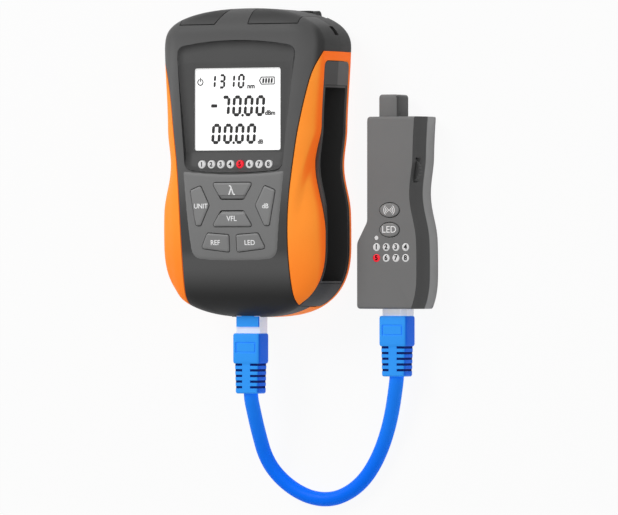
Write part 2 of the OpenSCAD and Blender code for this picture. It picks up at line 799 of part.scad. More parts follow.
module battery_cells() color("steelblue") for (i = [0:2])
  translate([cell_x + i * cell_pitch, 0, cell_z]) mirror([0, i % 2, 0]) translate([0, i % 2 == 0 ? cell_y : -cell_y - cell_len, 0]) {
    along_y(0, 0, 0) cylinder(d = cell_d, h = cell_len - 1);
    along_y(0, cell_len - 1.1, 0) cylinder(d = 3.8, h = 1.1);
  }
module battery_contacts() color("silver") for (i = [0:2], end = [0, 1])
  translate([cell_x + i * cell_pitch, end == 0 ? cell_y - 2.3 : cell_y + cell_len + 2.3, cell_z]) mirror([0, end, 0]) {
    translate([-3.6, 0, -3.6]) cube([7.2, 0.4, 7.2]);
    if ((i + end) % 2 == 0) along_y(0, 0.3, 0) cylinder(r1 = 3, r2 = 1.6, h = 1.8);
    else along_y(0, 0.3, 0) cylinder(r = 1.6, h = 1.8);
  }

// ---- Remote: drawn where it docks, then laid down beside the meter ----
module parked() translate(remote_at) children();

module remote_form(g) {
  intersection() {
    skin(g, 1, 1, 1);
    translate([0, 0, remote_low_z + g]) linear_extrude(remote_d - 2 * g) intersection() {
      rounded(1.6) remote_plan(-g);
      translate([0, remote_low_y + g]) square([big, remote_len - 2 * g]);
    }
  }
}

module oval(g = 0) resize([button_w + 2 * g, button_h + 2 * g]) circle(d = button_w, $fn = 40);

module remote_lamp_at(from, to) for (i = [from:to])
  translate([status_x + remote_lamp_pitch * ((i - 1) % 4), remote_lamp_y - remote_lamp_pitch * floor((i - 1) / 4), 0])
    children();

module remote_openings() {
  for (y = [tone_y, lamp_button_y]) translate([button_x, y, board_rz]) linear_extrude(big) oval(key_gap);
  remote_lamp_at(1, lamp_count) translate([0, 0, board_rz]) cylinder(d = remote_lamp_d + 2 * slip, h = big);
  translate([status_x, status_y, board_rz]) cylinder(d = status_d + 2 * slip, h = big);
  translate([wheel_x, wheel_y - wheel_slot / 2, wheel_z - wheel_t / 2 - 0.3]) cube([big, wheel_slot, wheel_t + 0.6]);
  translate([remote_mid_x - jack_w / 2 - slip, remote_low_y - 1, ridge_z - jack_h / 2 - slip])
    cube([jack_w + 2 * slip, remote_wall + 2, jack_h + 2 * slip]);
  translate([remote_x0 + tip_x, remote_top_y - 4, ridge_z - tip_d / 2 - slip]) cube([tip_w, 8, tip_d + 2 * slip]);
}

module remote_shell() difference() {
  remote_form(0);
  remote_form(remote_wall);
  remote_openings();
}

module remote_front() color("#6f6f6f") parked() difference() {
  remote_shell();
  translate([-big / 2, -big / 2, ridge_z - big]) cube([big, big, big]);
}
module remote_rear() color("#666666") parked() difference() {
  remote_shell();
  translate([-big / 2, -big / 2, ridge_z]) cube([big, big, big]);
  remote_screw_at() translate([0, 0, remote_low_z - 1]) cylinder(r = remote_screw_r + slip, h = 2.2);
}
module remote_screw_at() {
  translate([remote_x0 + 9, remote_top_y - 7, 0]) children();
  translate([remote_x0 + 4, remote_low_y + 4, 0]) children();
}
module remote_screws() color("silver") parked() remote_screw_at() translate([0, 0, remote_low_z + 0.3]) difference() {
  cylinder(r = remote_screw_r, h = 0.9);
  for (a = [0, 90]) rotate(a) translate([-1.3, -0.25, -0.5]) cube([2.6, 0.5, 1]);
}

module probe_tip() color("#707070") parked() translate([remote_x0 + tip_x, remote_top_y - 3, ridge_z - tip_d / 2]) {
  linear_extrude(tip_d) {
    translate([0, 3]) intersection() {
      rounded(1.6) translate([0, -4]) square([tip_w, tip_len + 4]);
      square([tip_w, tip_len]);
    }
    translate([slip, 0]) square([tip_w - 2 * slip, 3]);
  }
  translate([-1.5, 0, 0]) cube([tip_w + 3, remote_wall - 0.8, tip_d]);
}

module remote_button(y) parked() translate([button_x, y, 0]) {
  foot_z = board_rz + board_rt + button_travel + 0.4;
  hull() {
    translate([0, 0, foot_z]) linear_extrude(remote_top_z + 0.1 - foot_z) oval();
    translate([0, 0, remote_top_z + button_rise - 0.1]) linear_extrude(0.1) oval(-0.6);
  }
  translate([0, 0, remote_top_z - remote_wall - 1.2]) linear_extrude(0.9) oval(0.9);
}
module tone_button() color("#7c7c7c") remote_button(tone_y);
module lamp_button() color("#7c7c7c") remote_button(lamp_button_y);

module remote_lamp() translate([0, 0, board_rz + board_rt]) cylinder(d = remote_lamp_d, h = remote_top_z - board_rz - board_rt);
module remote_lamps() color("#d8d8d8") parked() {
  remote_lamp_at(1, lit_lamp - 1) remote_lamp();
  remote_lamp_at(lit_lamp + 1, lamp_count) remote_lamp();
}
module remote_lamp_lit() color("red") parked() remote_lamp_at(lit_lamp, lit_lamp) remote_lamp();
module status_led() color("white") parked() translate([status_x, status_y, board_rz + board_rt])
  cylinder(d = status_d, h = remote_top_z - board_rz - board_rt);

module volume_wheel() color("#1c1c1c") parked() translate([wheel_x, wheel_y, wheel_z - wheel_t / 2]) difference() {
  cylinder(r = wheel_r, h = wheel_t, $fn = 64);
  translate([0, 0, -1]) cylinder(r = axle_r + pin_play, h = wheel_t + 2);
  for (i = [0:23]) rotate(15 * i) translate([wheel_r, 0, -1]) cylinder(r = 0.4, h = wheel_t + 2, $fn = 4);
}
module wheel_axle() color("silver") parked() translate([wheel_x, wheel_y, board_rz + board_rt])
  cylinder(r = axle_r, h = remote_top_z - remote_wall - board_rz - board_rt - slip);

module remote_board() color("#1f6b3a") parked() translate([0, 0, board_rz]) linear_extrude(board_rt) difference() {
  intersection() {
    offset(delta = -remote_wall - 0.5) remote_plan(0);
    translate([0, remote_low_y]) square([belly_w / 2 - 6, remote_len]);
  }
  translate([remote_mid_x - jack_w / 2 - 0.3, remote_low_y]) square([jack_w + 0.6, jack_len + 0.6]);
  translate([remote_x0 + tip_x - 2, remote_top_y - 4]) square([tip_w + 4, 5]);
}
module remote_jack() color("#2a2a2a") parked() translate([remote_mid_x, remote_low_y + 0.3, ridge_z]) jack();
module remote_cell() color("#b8b8c0") parked()
  along_y(remote_x0 + 12.6, remote_low_y + 43.9, remote_low_z + remote_wall + remote_cell_d / 2 + 0.2)
    cylinder(d = remote_cell_d, h = remote_cell_len);
module remote_speaker() color("#202020") parked()
  translate([remote_x0 + 16, remote_low_y + 29.9, remote_low_z + remote_wall + 0.1]) {
  cylinder(r = 6, h = 2.8);
  cylinder(r = 4, h = 4.6);
}

// ---- Patch lead ----
// Tube through the route's points: rings of sides turned square to the path
function unit(v) = v / norm(v);
function ring(p, dir, r, sides) = let (
    across = unit(cross(dir, [0, 0, 1])),
    up = cross(across, dir)
  ) [for (i = [0:sides - 1]) p + r * (cos(360 * i / sides) * across + sin(360 * i / sides) * up)];
module tube(route, r, sides = 8) {
  n = len(route);
  pts = [for (i = [0:n - 1]) each ring(route[i], i == 0 || i == n - 1 ? [0, i == 0 ? -1 : 1, 0]
    : unit(route[i + 1] - route[i - 1]), r, sides)];
  polyhedron(points = pts, faces = concat(
    [[for (i = [0:sides - 1]) i]],
    [for (k = [0:n - 2], i = [0:sides - 1]) let (j = (i + 1) % sides)
      [k * sides + i, (k + 1) * sides + i, (k + 1) * sides + j, k * sides + j]],
    [[for (i = [sides - 1:-1:0]) (n - 1) * sides + i]]));
}
module patch_cable() color("#1a78f0") tube(cable_route, cable_d / 2);

module plug(visible) {
  translate([-plug_w / 2, -visible, -plug_h / 2 - 1]) cube([plug_w, plug_in + visible, plug_h]);
  translate([-latch_w / 2, -visible, plug_h / 2 - 1]) cube([latch_w, plug_in + visible - 1, latch_t]);
}
module meter_plug() color("#d8dde2") translate([jack_x, -end_y, jack_z]) plug(-meter_boot_y - end_y);
module remote_plug() color("#d8dde2") translate([remote_lies_x, remote_lies_y, remote_lies_z])
  plug(remote_lies_y - remote_boot_y);

// Boot: a block behind the plug, then a tail with shallow slots at both sides of a spine
module boot_slice(y, len, w, h) translate([0, y, 0]) rotate([-90, 0, 0]) linear_extrude(len)
  rounded(boot_edge_r) square([w, h], center = true);
module boot() {
  slot_pitch = (boot_len - block_len) / (slot_n + 0.4);
  slot_h = tail_h - 2 * slot_in_z;
  difference() {
    union() {
      hull() {
        boot_slice(-block_len, block_len, boot_w, boot_h);
        boot_slice(-block_len - block_step, 1, tail_w, tail_h);
      }
      hull() {
        boot_slice(-block_len - 1, 1, tail_w, tail_h);
        boot_slice(-boot_len, 1, tail_w - tail_narrows, tail_h);
      }
    }
    for (i = [0:slot_n - 1])
      translate([0, -block_len - slot_start - i * slot_pitch, 0]) difference() {
        cube([2 * boot_w, slot_w, 2 * boot_h], center = true);
        cube([boot_w - 2 * slot_side, 2 * slot_w, slot_h], center = true);
        cube([spine_w, 2 * slot_w, 3 * boot_h], center = true);
      }
    rotate([90, 0, 0]) translate([0, 0, -1]) cylinder(d = cable_d, h = boot_len + 2);
    translate([-pad_w / 2, -(block_len + pad_len) / 2, boot_h / 2 - pad_drop]) cube([pad_w, pad_len, 1]);
  }
}
module meter_boot() color("#1a78f0") translate([jack_x, meter_boot_y, jack_z]) boot();
module remote_boot() color("#1a78f0") translate([remote_lies_x, remote_boot_y, remote_lies_z]) boot();

front_case();
rear_case();
grip_left();
grip_right();
dock_frame();
dock_tray();
display_bezel();
display_window();
lcd_panel();
backlight();
main_board();
keypad_mat();
key_wavelength();
key_unit();
key_db();
key_vfl();
key_ref();
key_led();
line_lamps();
line_lamp_lit();
port_bulkhead();
power_port();
light_detector();
vfl_port();
vfl_laser();
port_cover_left();
port_cover_right();
cover_pins();
torch_lens();
torch_led();
meter_jack();
usb_socket();
battery_door();
battery_tray();
battery_cells();
battery_contacts();
case_screws();
remote_front();
remote_rear();
probe_tip();
tone_button();
lamp_button();
remote_lamps();
remote_lamp_lit();
status_led();
volume_wheel();
wheel_axle();
remote_board();
remote_jack();
remote_cell();
remote_speaker();
remote_screws();
patch_cable();
meter_plug();
remote_plug();
meter_boot();
remote_boot();
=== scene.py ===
"""Looks of the handheld optical power meter, its docking cable-test remote and their patch lead.

The CAD frame gives every solid. The moulded pieces, the keys, the display and the lead are made
again here at a finer grain, the shells from the same body form as in the part's source. The rest of
the solids keep their own meshes under procedural materials.
The building functions count in millimetres, and MM turns that into metres. The camera and the lamps
are placed in metres.
"""
import math

import bpy
import bmesh
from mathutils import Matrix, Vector


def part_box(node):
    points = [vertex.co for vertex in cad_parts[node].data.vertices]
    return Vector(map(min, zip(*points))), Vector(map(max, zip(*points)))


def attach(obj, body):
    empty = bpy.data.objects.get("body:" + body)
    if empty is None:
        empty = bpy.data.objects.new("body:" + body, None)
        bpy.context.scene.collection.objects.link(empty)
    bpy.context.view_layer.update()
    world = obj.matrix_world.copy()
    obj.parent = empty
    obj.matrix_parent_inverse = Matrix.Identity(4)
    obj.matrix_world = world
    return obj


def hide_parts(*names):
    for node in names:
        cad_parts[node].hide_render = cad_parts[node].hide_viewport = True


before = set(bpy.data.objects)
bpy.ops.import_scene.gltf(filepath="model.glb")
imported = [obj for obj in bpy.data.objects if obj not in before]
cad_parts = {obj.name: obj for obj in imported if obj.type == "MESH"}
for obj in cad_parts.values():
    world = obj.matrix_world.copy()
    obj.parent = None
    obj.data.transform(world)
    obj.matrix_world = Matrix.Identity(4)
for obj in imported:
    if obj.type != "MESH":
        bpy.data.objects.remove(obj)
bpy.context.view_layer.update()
MM = 0.001


def node_box(node):
    """A CAD node's lowest and highest corners, in millimetres."""
    low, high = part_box(node)
    return [v / MM for v in low], [v / MM for v in high]


# ---- Driving values: the body's form, as in the part's source, and its ends from the frame ----
case_low = node_box("front_case")[0]
END_Y = -case_low[1]
RIDGE_Z = case_low[2]  # the front case ends at the ridge; the rear case has posts above it
BELLY_HALF = 40.2
BODY_D = 38.0
SHOULDER_Y = 48.5
BELLY_Y = -34.0
WAIST_IN, WAIST_Y, WAIST_REACH = 2.0, -3.0, 18.0
CHEST_IN, CHEST_Y, CHEST_REACH = 1.9, 12.0, 42.0
FLANK_H = 10.7
FLANK_VEE = 0.8
END_ROUND = 11.0
BACK_ROUND = 6.0
END_MIN_W = 1.5
GRIP_T = 1.6
CASE_T = 3.2
GRIP_TOP_Y = 47.0
GRIP_WAIST_X, GRIP_WAIST_Y, GRIP_RISE, GRIP_LAP = 25.4, -38.0, 11.7, 5.5
SEAM = 0.42
FLAT_N, CROWN_N, BACK_N = 10, 22, 8  # steps of a half section: flat crown, front arc, back arc
GRIP_IN_X = node_box("grip_right")[0][0]


def clip(v, lo, hi):
    return max(lo, min(hi, v))


def smooth(edge0, edge1, v):
    """Smooth step from 0 at edge0 to 1 at edge1."""
    t = clip((v - edge0) / (edge1 - edge0), 0.0, 1.0)
    return t * t * (3 - 2 * t)


def bump_at(d, reach):
    """A smooth bump, 1 at no distance and 0 from reach on."""
    return 0.0 if abs(d) >= reach else math.cos(math.pi / 2 * d / reach) ** 2


def fade(d, n):
    """A superellipse quarter: 1 up to no distance, 0 from a distance of 1 on."""
    return 1.0 if d <= 0 else 0.0 if d >= 1 else (1 - d ** n) ** (1 / n)


def round_off(d, r):
    """How far an edge rounded to r has fallen, d past the start of the round."""
    return 0.0 if d <= 0 else r * (1 - math.sqrt(max(0.0, 1 - (min(d, r) / r) ** 2)))


def flank_x(y):
    """Half the width along the flanks, with the chest and the waist."""
    return (BELLY_HALF - CHEST_IN * bump_at(y - CHEST_Y, CHEST_REACH)
            - WAIST_IN * bump_at(y - WAIST_Y, WAIST_REACH))


def half_w(y):
    """Half the width, with the rounded ends."""
    if y > 0:
        return flank_x(y) * fade((y - SHOULDER_Y) / (END_Y - SHOULDER_Y), 2.35)
    return flank_x(y) * fade((BELLY_Y - y) / (END_Y + BELLY_Y), 2.6)


def front_z(y):
    """Height of the crown, falling to both ends."""
    drop = 3.5 * ((y + 20) / 86) ** 2 if y > -20 else 7.4 * ((y + 20) / 46) ** 2
    return BODY_D - drop - round_off(abs(y) - (END_Y - END_ROUND), END_ROUND)


def back_z(y):
    """Height of the back, rolled up at both ends."""
    return round_off(abs(y) - (END_Y - BACK_ROUND + 1), BACK_ROUND - 1)


def grip_x(y):
    """Inner edge of a grip on the front."""
    if y > GRIP_WAIST_Y:
        return GRIP_WAIST_X + GRIP_RISE * ((y - GRIP_WAIST_Y) / 84) ** 2 + 1.25 * smooth(32, 47, y) ** 2
    return GRIP_WAIST_X + 0.7 * ((y - GRIP_WAIST_Y) / 24) ** 2


def half_section(y, t):
    """Right half of the body's cross-section at y, t under the skin, from crown to back."""
    w = max(END_MIN_W, half_w(y) - t)
    f = front_z(y) - t
    b = back_z(y) + t
    v = FLANK_VEE * min(1.0, w / 30)
    zf = RIDGE_Z + FLANK_H * clip((f - RIDGE_Z) / 16, 0, 1)
    zb = RIDGE_Z - FLANK_H * clip((RIDGE_Z - b) / 15, 0, 1)
    crown_x, crown_z, c = 0.62 * w, f - 0.5, min(BACK_ROUND, w / 2)
    pts = [(crown_x * i / FLAT_N, f - 0.5 * (i / FLAT_N) ** 2) for i in range(FLAT_N)]
    for i in range(CROWN_N + 1):
        a = math.pi / 2 * i / CROWN_N
        pts.append((crown_x + (w - v - crown_x) * math.sin(a), zf + (crown_z - zf) * math.cos(a)))
    pts += [(w - v * 0.5, (RIDGE_Z + zf) / 2), (w - v * 0.09, RIDGE_Z + 1), (w - v * 0.09, RIDGE_Z - 1),
            (w - v * 0.5, (RIDGE_Z + zb) / 2)]
    for i in range(BACK_N + 1):
        a = math.pi / 2 * i / BACK_N
        pts.append((w - v - c + c * math.cos(a), b + (zb - b) * (1 - math.sin(a))))
    return pts


def stations(reach, n):
    """Places along y, closer together towards the ends."""
    return [reach * math.sin(math.pi / 2 * i / n) for i in range(-n, n + 1)]


# ---- Mesh building ----
def link(obj):
    bpy.context.collection.objects.link(obj)
    return obj


def twin(obj):
    """A second object with its own copy of the mesh."""
    other = obj.copy()
    other.data = obj.data.copy()
    return link(other)


def raw_object(name, verts, faces):
    """An object from millimetre vertices and faces as they are."""
    mesh = bpy.data.meshes.new(name)
    mesh.from_pydata([(x * MM, y * MM, z * MM) for x, y, z in verts], [], faces)
    return link(bpy.data.objects.new(name, mesh))


def new_object(name, verts, faces):
    """An object from millimetre vertices, with closed, outward faces."""
    obj = raw_object(name, verts, faces)
    bm = bmesh.new()
    bm.from_mesh(obj.data)
    bmesh.ops.remove_doubles(bm, verts=bm.verts, dist=1e-7)
    bmesh.ops.recalc_face_normals(bm, faces=bm.faces)
    bm.to_mesh(obj.data)
    bm.free()
    return obj


def loft(name, rings):
    """A closed form through rings of the same number of points."""
    m = len(rings[0])
    verts = [p for ring in rings for p in ring]
    faces = [tuple(range(m)), tuple(range(len(verts) - 1, len(verts) - m - 1, -1))]
    for k in range(len(rings) - 1):
        near, far = k * m, (k + 1) * m
        faces += [(near + i, far + i, far + (i + 1) % m, near + (i + 1) % m) for i in range(m)]
    return new_object(name, verts, faces)


def upright(outline, y, lift=0.0):
    """A ring at y from an outline in x and z."""
    return [(x, y, z + lift) for x, z in outline]


def prism_x(outline, x0, x1, name="prism"):
    """A prism along x over an outline in y and z."""
    return loft(name, [[(x, y, z) for y, z in outline] for x in (x0, x1)])


def prism_y(outline, y0, y1, name="prism", lift=0.0):
    """A prism along y over an outline in x and z."""
    return loft(name, [upright(outline, y, lift) for y in (y0, y1)])


def body_form(name, t=0.0, n=40, shift=None):
    """The body's form t under its skin; shift(x, y, z) may lower or raise a point along its normal."""
    rings = []
    for y in stations(END_Y - max(t, 0), n):
        half = half_section(y, t)
        ring = half + [(-x, z) for x, z in half[:0:-1]]
        if shift is not None:
            m = len(ring)
            moved = []
            for i, (x, z) in enumerate(ring):
                ax, az = ring[i - 1]
                bx, bz = ring[(i + 1) % m]
                nx, nz = -(bz - az), bx - ax
                size = math.hypot(nx, nz) or 1
                d = shift(x, y, z)
                moved.append((x + nx / size * d, z + nz / size * d))
            ring = moved
        rings.append(upright(ring, y))
    return loft(name, rings)


def prism(name, outline, z0, z1):
    n = len(outline)
    verts = [(x, y, z0) for x, y in outline] + [(x, y, z1) for x, y in outline]
    faces = [tuple(range(n)), tuple(range(2 * n - 1, n - 1, -1))]
    faces += [(i, (i + 1) % n, (i + 1) % n + n, i + n) for i in range(n)]
    return new_object(name, verts, faces)


def block(name, low, high):
    x0, y0, z0 = low
    x1, y1, z1 = high
    return prism(name, [(x0, y0), (x1, y0), (x1, y1), (x0, y1)], z0, z1)


def disc(cx, cy, rx, ry=None, n=32):
    ry = ry or rx
    turns = [2 * math.pi * i / n for i in range(n)]
    return [(cx + rx * math.cos(a), cy + ry * math.sin(a)) for a in turns]


def evaluated_mesh(obj):
    """A new mesh of the object as its modifiers or its text leave it."""
    bpy.context.view_layer.update()
    return bpy.data.meshes.new_from_object(obj.evaluated_get(bpy.context.evaluated_depsgraph_get()))


def cut(target, cutter, how="DIFFERENCE"):
    """Applies one boolean to target and removes the cutter."""
    mod = target.modifiers.new("cut", "BOOLEAN")
    mod.operation = how
    mod.object = cutter
    mod.solver = "MANIFOLD"
    result = evaluated_mesh(target)
    target.modifiers.clear()
    old = target.data
    target.data = result
    bpy.data.meshes.remove(old)
    bpy.data.objects.remove(cutter)
    return target


def corner_arc(prev, here, after, r, n=5):
    """Points of a corner rounded to radius r, on its inside."""
    a = (Vector(prev) - Vector(here)).normalized()
    b = (Vector(after) - Vector(here)).normalized()
    half = a.angle(b) / 2
    reach = min(r / math.tan(half), (Vector(prev) - Vector(here)).length * 0.49,
                (Vector(after) - Vector(here)).length * 0.49)
    p, q, h = Vector(here) + a * reach, Vector(here) + b * reach, Vector(here)
    return [tuple(p * (1 - s) ** 2 + h * 2 * s * (1 - s) + q * s * s) for s in [i / n for i in range(n + 1)]]


def rounded(corners, r, n=5):
    m = len(corners)
    radii = r if isinstance(r, (list, tuple)) else [r] * m
    out = []
    for i in range(m):
        after = corners[(i + 1) % m]
        out += corner_arc(corners[i - 1], corners[i], after, radii[i], n) if radii[i] else [corners[i]]
    return out


def grown(outline, d):
    """The outline moved outwards by d, for a counter-clockwise outline without tight notches."""
    m = len(outline)
    area = sum(outline[i - 1][0] * outline[i][1] - outline[i][0] * outline[i - 1][1] for i in range(m))
    sign = 1 if area > 0 else -1
    out = []
    for i in range(m):
        a, b, c = Vector(outline[i - 1]), Vector(outline[i]), Vector(outline[(i + 1) % m])
        u, v = (b - a).normalized(), (c - b).normalized()
        n = Vector((u.y + v.y, -u.x - v.x))
        size = n.length_squared
        out.append(tuple(b + n * (2 * d * sign / size)) if size > 1e-9 else tuple(b))
    return out


# ---- Camera: the photograph's view, turned 28 degrees about the object's long axis ----
YAW, CAMERA_REACH = math.radians(28), 3.0
TARGET = Vector((0.0255, -0.0403, 0.017))
camera_data = bpy.data.cameras.new("camera")
camera_data.lens = 411.7
camera_data.sensor_width = 36
camera_data.clip_end = 20
camera = bpy.data.objects.new("camera", camera_data)
camera.location = TARGET + Vector((math.sin(YAW), 0, math.cos(YAW))) * CAMERA_REACH
camera.rotation_euler = (0, YAW, 0)
link(camera)
bpy.context.scene.camera = camera
bpy.context.scene.view_settings.view_transform = "Standard"


# ---- Materials ----
def tint(code):
    """A web colour as linear red, green, blue and alpha."""
    channels = [int(code[i:i + 2], 16) / 255 for i in (1, 3, 5)]
    return [c / 12.92 if c <= 0.04045 else ((c + 0.055) / 1.055) ** 2.4 for c in channels] + [1.0]


def new_material(name):
    mat = bpy.data.materials.new(name)
    mat.use_nodes = True
    return mat, mat.node_tree, mat.node_tree.nodes["Principled BSDF"]


def plug_in(socket, value):
    """Gives an input a value, or a link when the value is another node's output."""
    if isinstance(value, bpy.types.NodeSocket):
        socket.id_data.links.new(value, socket)
    else:
        socket.default_value = value


def feed(node, **inputs):
    """Fills a node's inputs by name; an underscore stands for a space."""
    for key, value in inputs.items():
        plug_in(node.inputs[key.replace("_", " ")], value)
    return node


def add_node(tree, kind, **inputs):
    return feed(tree.nodes.new("ShaderNode" + kind), **inputs)


def noise(tree, scale, detail=3.0):
    coords = add_node(tree, "TexCoord").outputs["Object"]
    return add_node(tree, "TexNoise", Scale=scale, Detail=detail, Vector=coords).outputs["Fac"]


def ranged(tree, value, from_low, from_high, to_low, to_high, smooth_step=False):
    node = add_node(tree, "MapRange", Value=value, From_Min=from_low, From_Max=from_high, To_Min=to_low,
                    To_Max=to_high)
    if smooth_step:
        node.interpolation_type = "SMOOTHSTEP"
    return node.outputs["Result"]


def mixed(tree, factor, a, b):
    """Colour a where factor is 0 and b where it is 1; either may be a socket."""
    node = add_node(tree, "Mix", Factor=factor)
    node.data_type = "RGBA"
    for key, colour in (("A", a), ("B", b)):
        plug_in([s for s in node.inputs if s.name == key and s.type == "RGBA"][0], colour)
    return [s for s in node.outputs if s.type == "RGBA"][0]


def axis_value(tree, axis, kind="Object"):
    """One axis of the object's coordinates or of the surface's normal."""
    coords = add_node(tree, "TexCoord").outputs[kind]
    return add_node(tree, "SeparateXYZ", Vector=coords).outputs[axis]


FINISH = {}


def moulded(name, tone, shade, rough=(0.42, 0.56), grain=2600, depth=0.012, mottle=70, edge=0.0,
            ramp=(), flank=None, glow=0.0, specular=0.5):
    """A moulded finish: mottled tone, fine spark grain in roughness and bump, softened edges.

    ramp holds (axis, from, to, colour): the finish turns to that colour along the object's axis, in mm; these
    ramps are painted shade and painted light. flank is (from, to, colour) over how far a face turns to the
    right:
    painted shade on faces turned from the key light. glow is painted light: an emission in the finish's own
    colour that keeps bright tones bright, also on parts that are no lamps."""
    mat, tree, shader = new_material(name)
    colour = mixed(tree, noise(tree, mottle), tint(shade), tint(tone))
    # Painted shade and painted light along the object's axes.
    for axis, start, stop, end_colour in ramp:
        along = ranged(tree, axis_value(tree, axis), start * MM, stop * MM, 0, 1, True)
        colour = mixed(tree, along, colour, tint(end_colour))
    # Painted shade on faces that turn right, away from the key light.
    if flank:
        turned = ranged(tree, axis_value(tree, "X", "Normal"), flank[0], flank[1], 0, 1, True)
        colour = mixed(tree, turned, colour, tint(flank[2]))
    fine = noise(tree, grain, 2.0)
    bump = add_node(tree, "Bump", Strength=0.6, Distance=depth * MM, Height=fine)
    if edge:
        bevel = add_node(tree, "Bevel", Radius=edge * MM)
        bevel.samples = 6
        feed(bump, Normal=bevel.outputs["Normal"])
    feed(shader, Base_Color=colour, Roughness=ranged(tree, fine, 0.3, 0.7, *rough),
         Specular_IOR_Level=specular, Normal=bump.outputs["Normal"])
    # Painted light: the finish glows in its own colour.
    if glow:
        feed(shader, Emission_Color=colour, Emission_Strength=glow)
    FINISH[name] = mat
    return shader


def metal(name, tone, shade):
    feed(moulded(name, tone, shade, (0.22, 0.36), 3400, 0.006, 240), Metallic=1.0)


def clear(name, tone, alpha, rough, specular=0.5, glow=0.0):
    # glow is painted light: an emission in the finish's own colour.
    feed(moulded(name, tone, tone, rough, 900, 0.002, specular=specular, glow=glow), Alpha=alpha)


# Painted shade and painted light on the front case: darker towards the top end, between the keypad and the
# grips and over the lower end, lighter again by the panel's foot, and darker on faces turned right.
moulded("case_grey", "#707070", "#696969", edge=0.35, specular=0.15,
        ramp=(("Y", 44, 60, "#5e5e5e"), ("Y", 0, -27, "#505050"), ("Y", -36, -42, "#666666"),
              ("Y", -44, -58, "#303030")), flank=(0.5, 0.75, "#464646"))
# Painted shade: the covers turn darker towards the top end.
moulded("cover_grey", "#565656", "#505050", edge=0.3, specular=0.15, ramp=(("Y", 59, 63.5, "#404040"),))
# Painted shade: the rear case turns darker over its lower end.
moulded("case_back", "#454545", "#3f3f3f", edge=0.35, specular=0.12, ramp=(("Y", -50, -60, "#222222"),))
# Painted light: the keypad panel is a lighter grey than the case around it, for the light on its flat face.
moulded("panel_grey", "#929292", "#8c8c8c", edge=0.3, specular=0.2)
# Painted shade and painted light on the grips: darker towards the lower end and on faces turned right, and a
# glow that keeps the orange bright.
moulded("grip_orange", "#ff9838", "#ff9030", (0.46, 0.62), 2200, 0.02, 60, 0.4,
        ramp=(("Y", -20, -60, "#ff842a"),), flank=(0.72, 0.95, "#ff7424"), glow=0.42, specular=0.1)
# Painted light and painted shade on the dock's liner: its back facet, below the ridge, lighter, and darker
# towards the lower end.
moulded("liner_grey", "#686868", "#626262", edge=0.3, specular=0.1,
        ramp=(("Z", 17.6, 16.6, "#7c7c7c"), ("Y", 10, -50, "#474747")))
moulded("tray_black", "#484848", "#424242", (0.5, 0.68), 1800, 0.03, 50, 0.3)
# Painted shade: the bezel turns darker where its face rises towards the keypad.
moulded("bezel_grey", "#5e5e5e", "#585858", (0.38, 0.5), 3000, 0.008, 80, 0.2,
        ramp=(("Y", 5, 3.5, "#545454"),), specular=0.15)
clear("window_clear", "#ffffff", 0.03, (0.2, 0.3), 0.1)
moulded("lcd_glass", "#ffffff", "#fbfbfb", (0.3, 0.45), 1800, 0.004, glow=0.62, specular=0.1)
moulded("lcd_ink", "#060606", "#020202", (0.5, 0.6), 1500, 0.002, specular=0.1)
moulded("white_diffuser", "#f2f4f2", "#e8eae8")
moulded("board_green", "#1f6b3a", "#185a2f", (0.3, 0.42), 1200, 0.02, 420)
moulded("rubber_dark", "#3a3a3a", "#323232", (0.6, 0.8), 1600, 0.03)
moulded("key_grey", "#949494", "#8e8e8e", (0.44, 0.6), 2600, 0.012, 70, 0.2)
# Painted light: the printed legends glow.
moulded("legend_white", "#f8f8f8", "#f0f0f0", (0.5, 0.6), 1500, 0.003, glow=0.25)
# Painted light: the unlit lamps glow.
moulded("lamp_grey", "#eaeaea", "#e0e0e0", (0.25, 0.35), 1500, 0.006, glow=0.22)
moulded("lamp_red", "#ff1430", "#f01028", (0.3, 0.45), 1800, 0.004, glow=0.4)
metal("steel", "#c8c8c6", "#b8b8b4")
metal("brass", "#c9a24a", "#b8913c")
moulded("jack_black", "#2a2a2a", "#232323", (0.4, 0.55), 2200, 0.015)
moulded("cell_sleeve", "#3f7fb0", "#3872a0", (0.25, 0.35), 900, 0.006)
# Painted shade: the remote's front shell is darker on faces turned right, over its flank facet.
moulded("remote_grey", "#8e8e8e", "#888888", edge=0.3, specular=0.15, flank=(0.7, 0.9, "#5e5e5e"))
# Painted light: the rear shell is a lighter grey than the front, standing in for the light on its lower
# facet.
moulded("remote_back", "#b6b6b6", "#b0b0b0", edge=0.3, specular=0.15)
# Painted light and painted shade on the lead: a glow that keeps the blue bright, and a deeper blue along its
# lower loop.
moulded("lead_blue", "#1c86ff", "#167cfa", (0.4, 0.55), 1400, 0.02, 90, 0.2, glow=0.32,
        ramp=(("Y", -100, -138, "#0070ff"),), specular=0.15)
# Painted light and painted shade on the boots: a glow, and darker faces turned right.
moulded("boot_blue", "#36a0ff", "#3098fa", (0.4, 0.55), 1400, 0.02, 90, 0.2, glow=0.32,
        flank=(0.5, 0.9, "#1468e8"), specular=0.15)
# Painted shadow: dark strips inside the boots' slots.
moulded("slot_painted_shadow", "#082a7c", "#06246c", (0.6, 0.7), 1400, 0.01, specular=0.1)
# Painted light: the clear plugs glow.
clear("plug_clear", "#fafafa", 0.74, (0.05, 0.15), glow=0.22)


def dress(obj, finish, body="root", replaces=(), bend=35):
    """Gives a piece its finish, soft shading and body, and hides the CAD nodes it stands for."""
    obj.data.materials.clear()
    obj.data.materials.append(FINISH[finish])
    if obj.type == "MESH":
        obj.data.shade_smooth()
        obj.data.set_sharp_from_angle(angle=math.radians(bend))
    if replaces:
        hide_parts(*replaces)
    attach(obj, body)
    return obj


# ---- The patch lead ----
def points(*rows):
    return [Vector(row) * MM for row in rows]


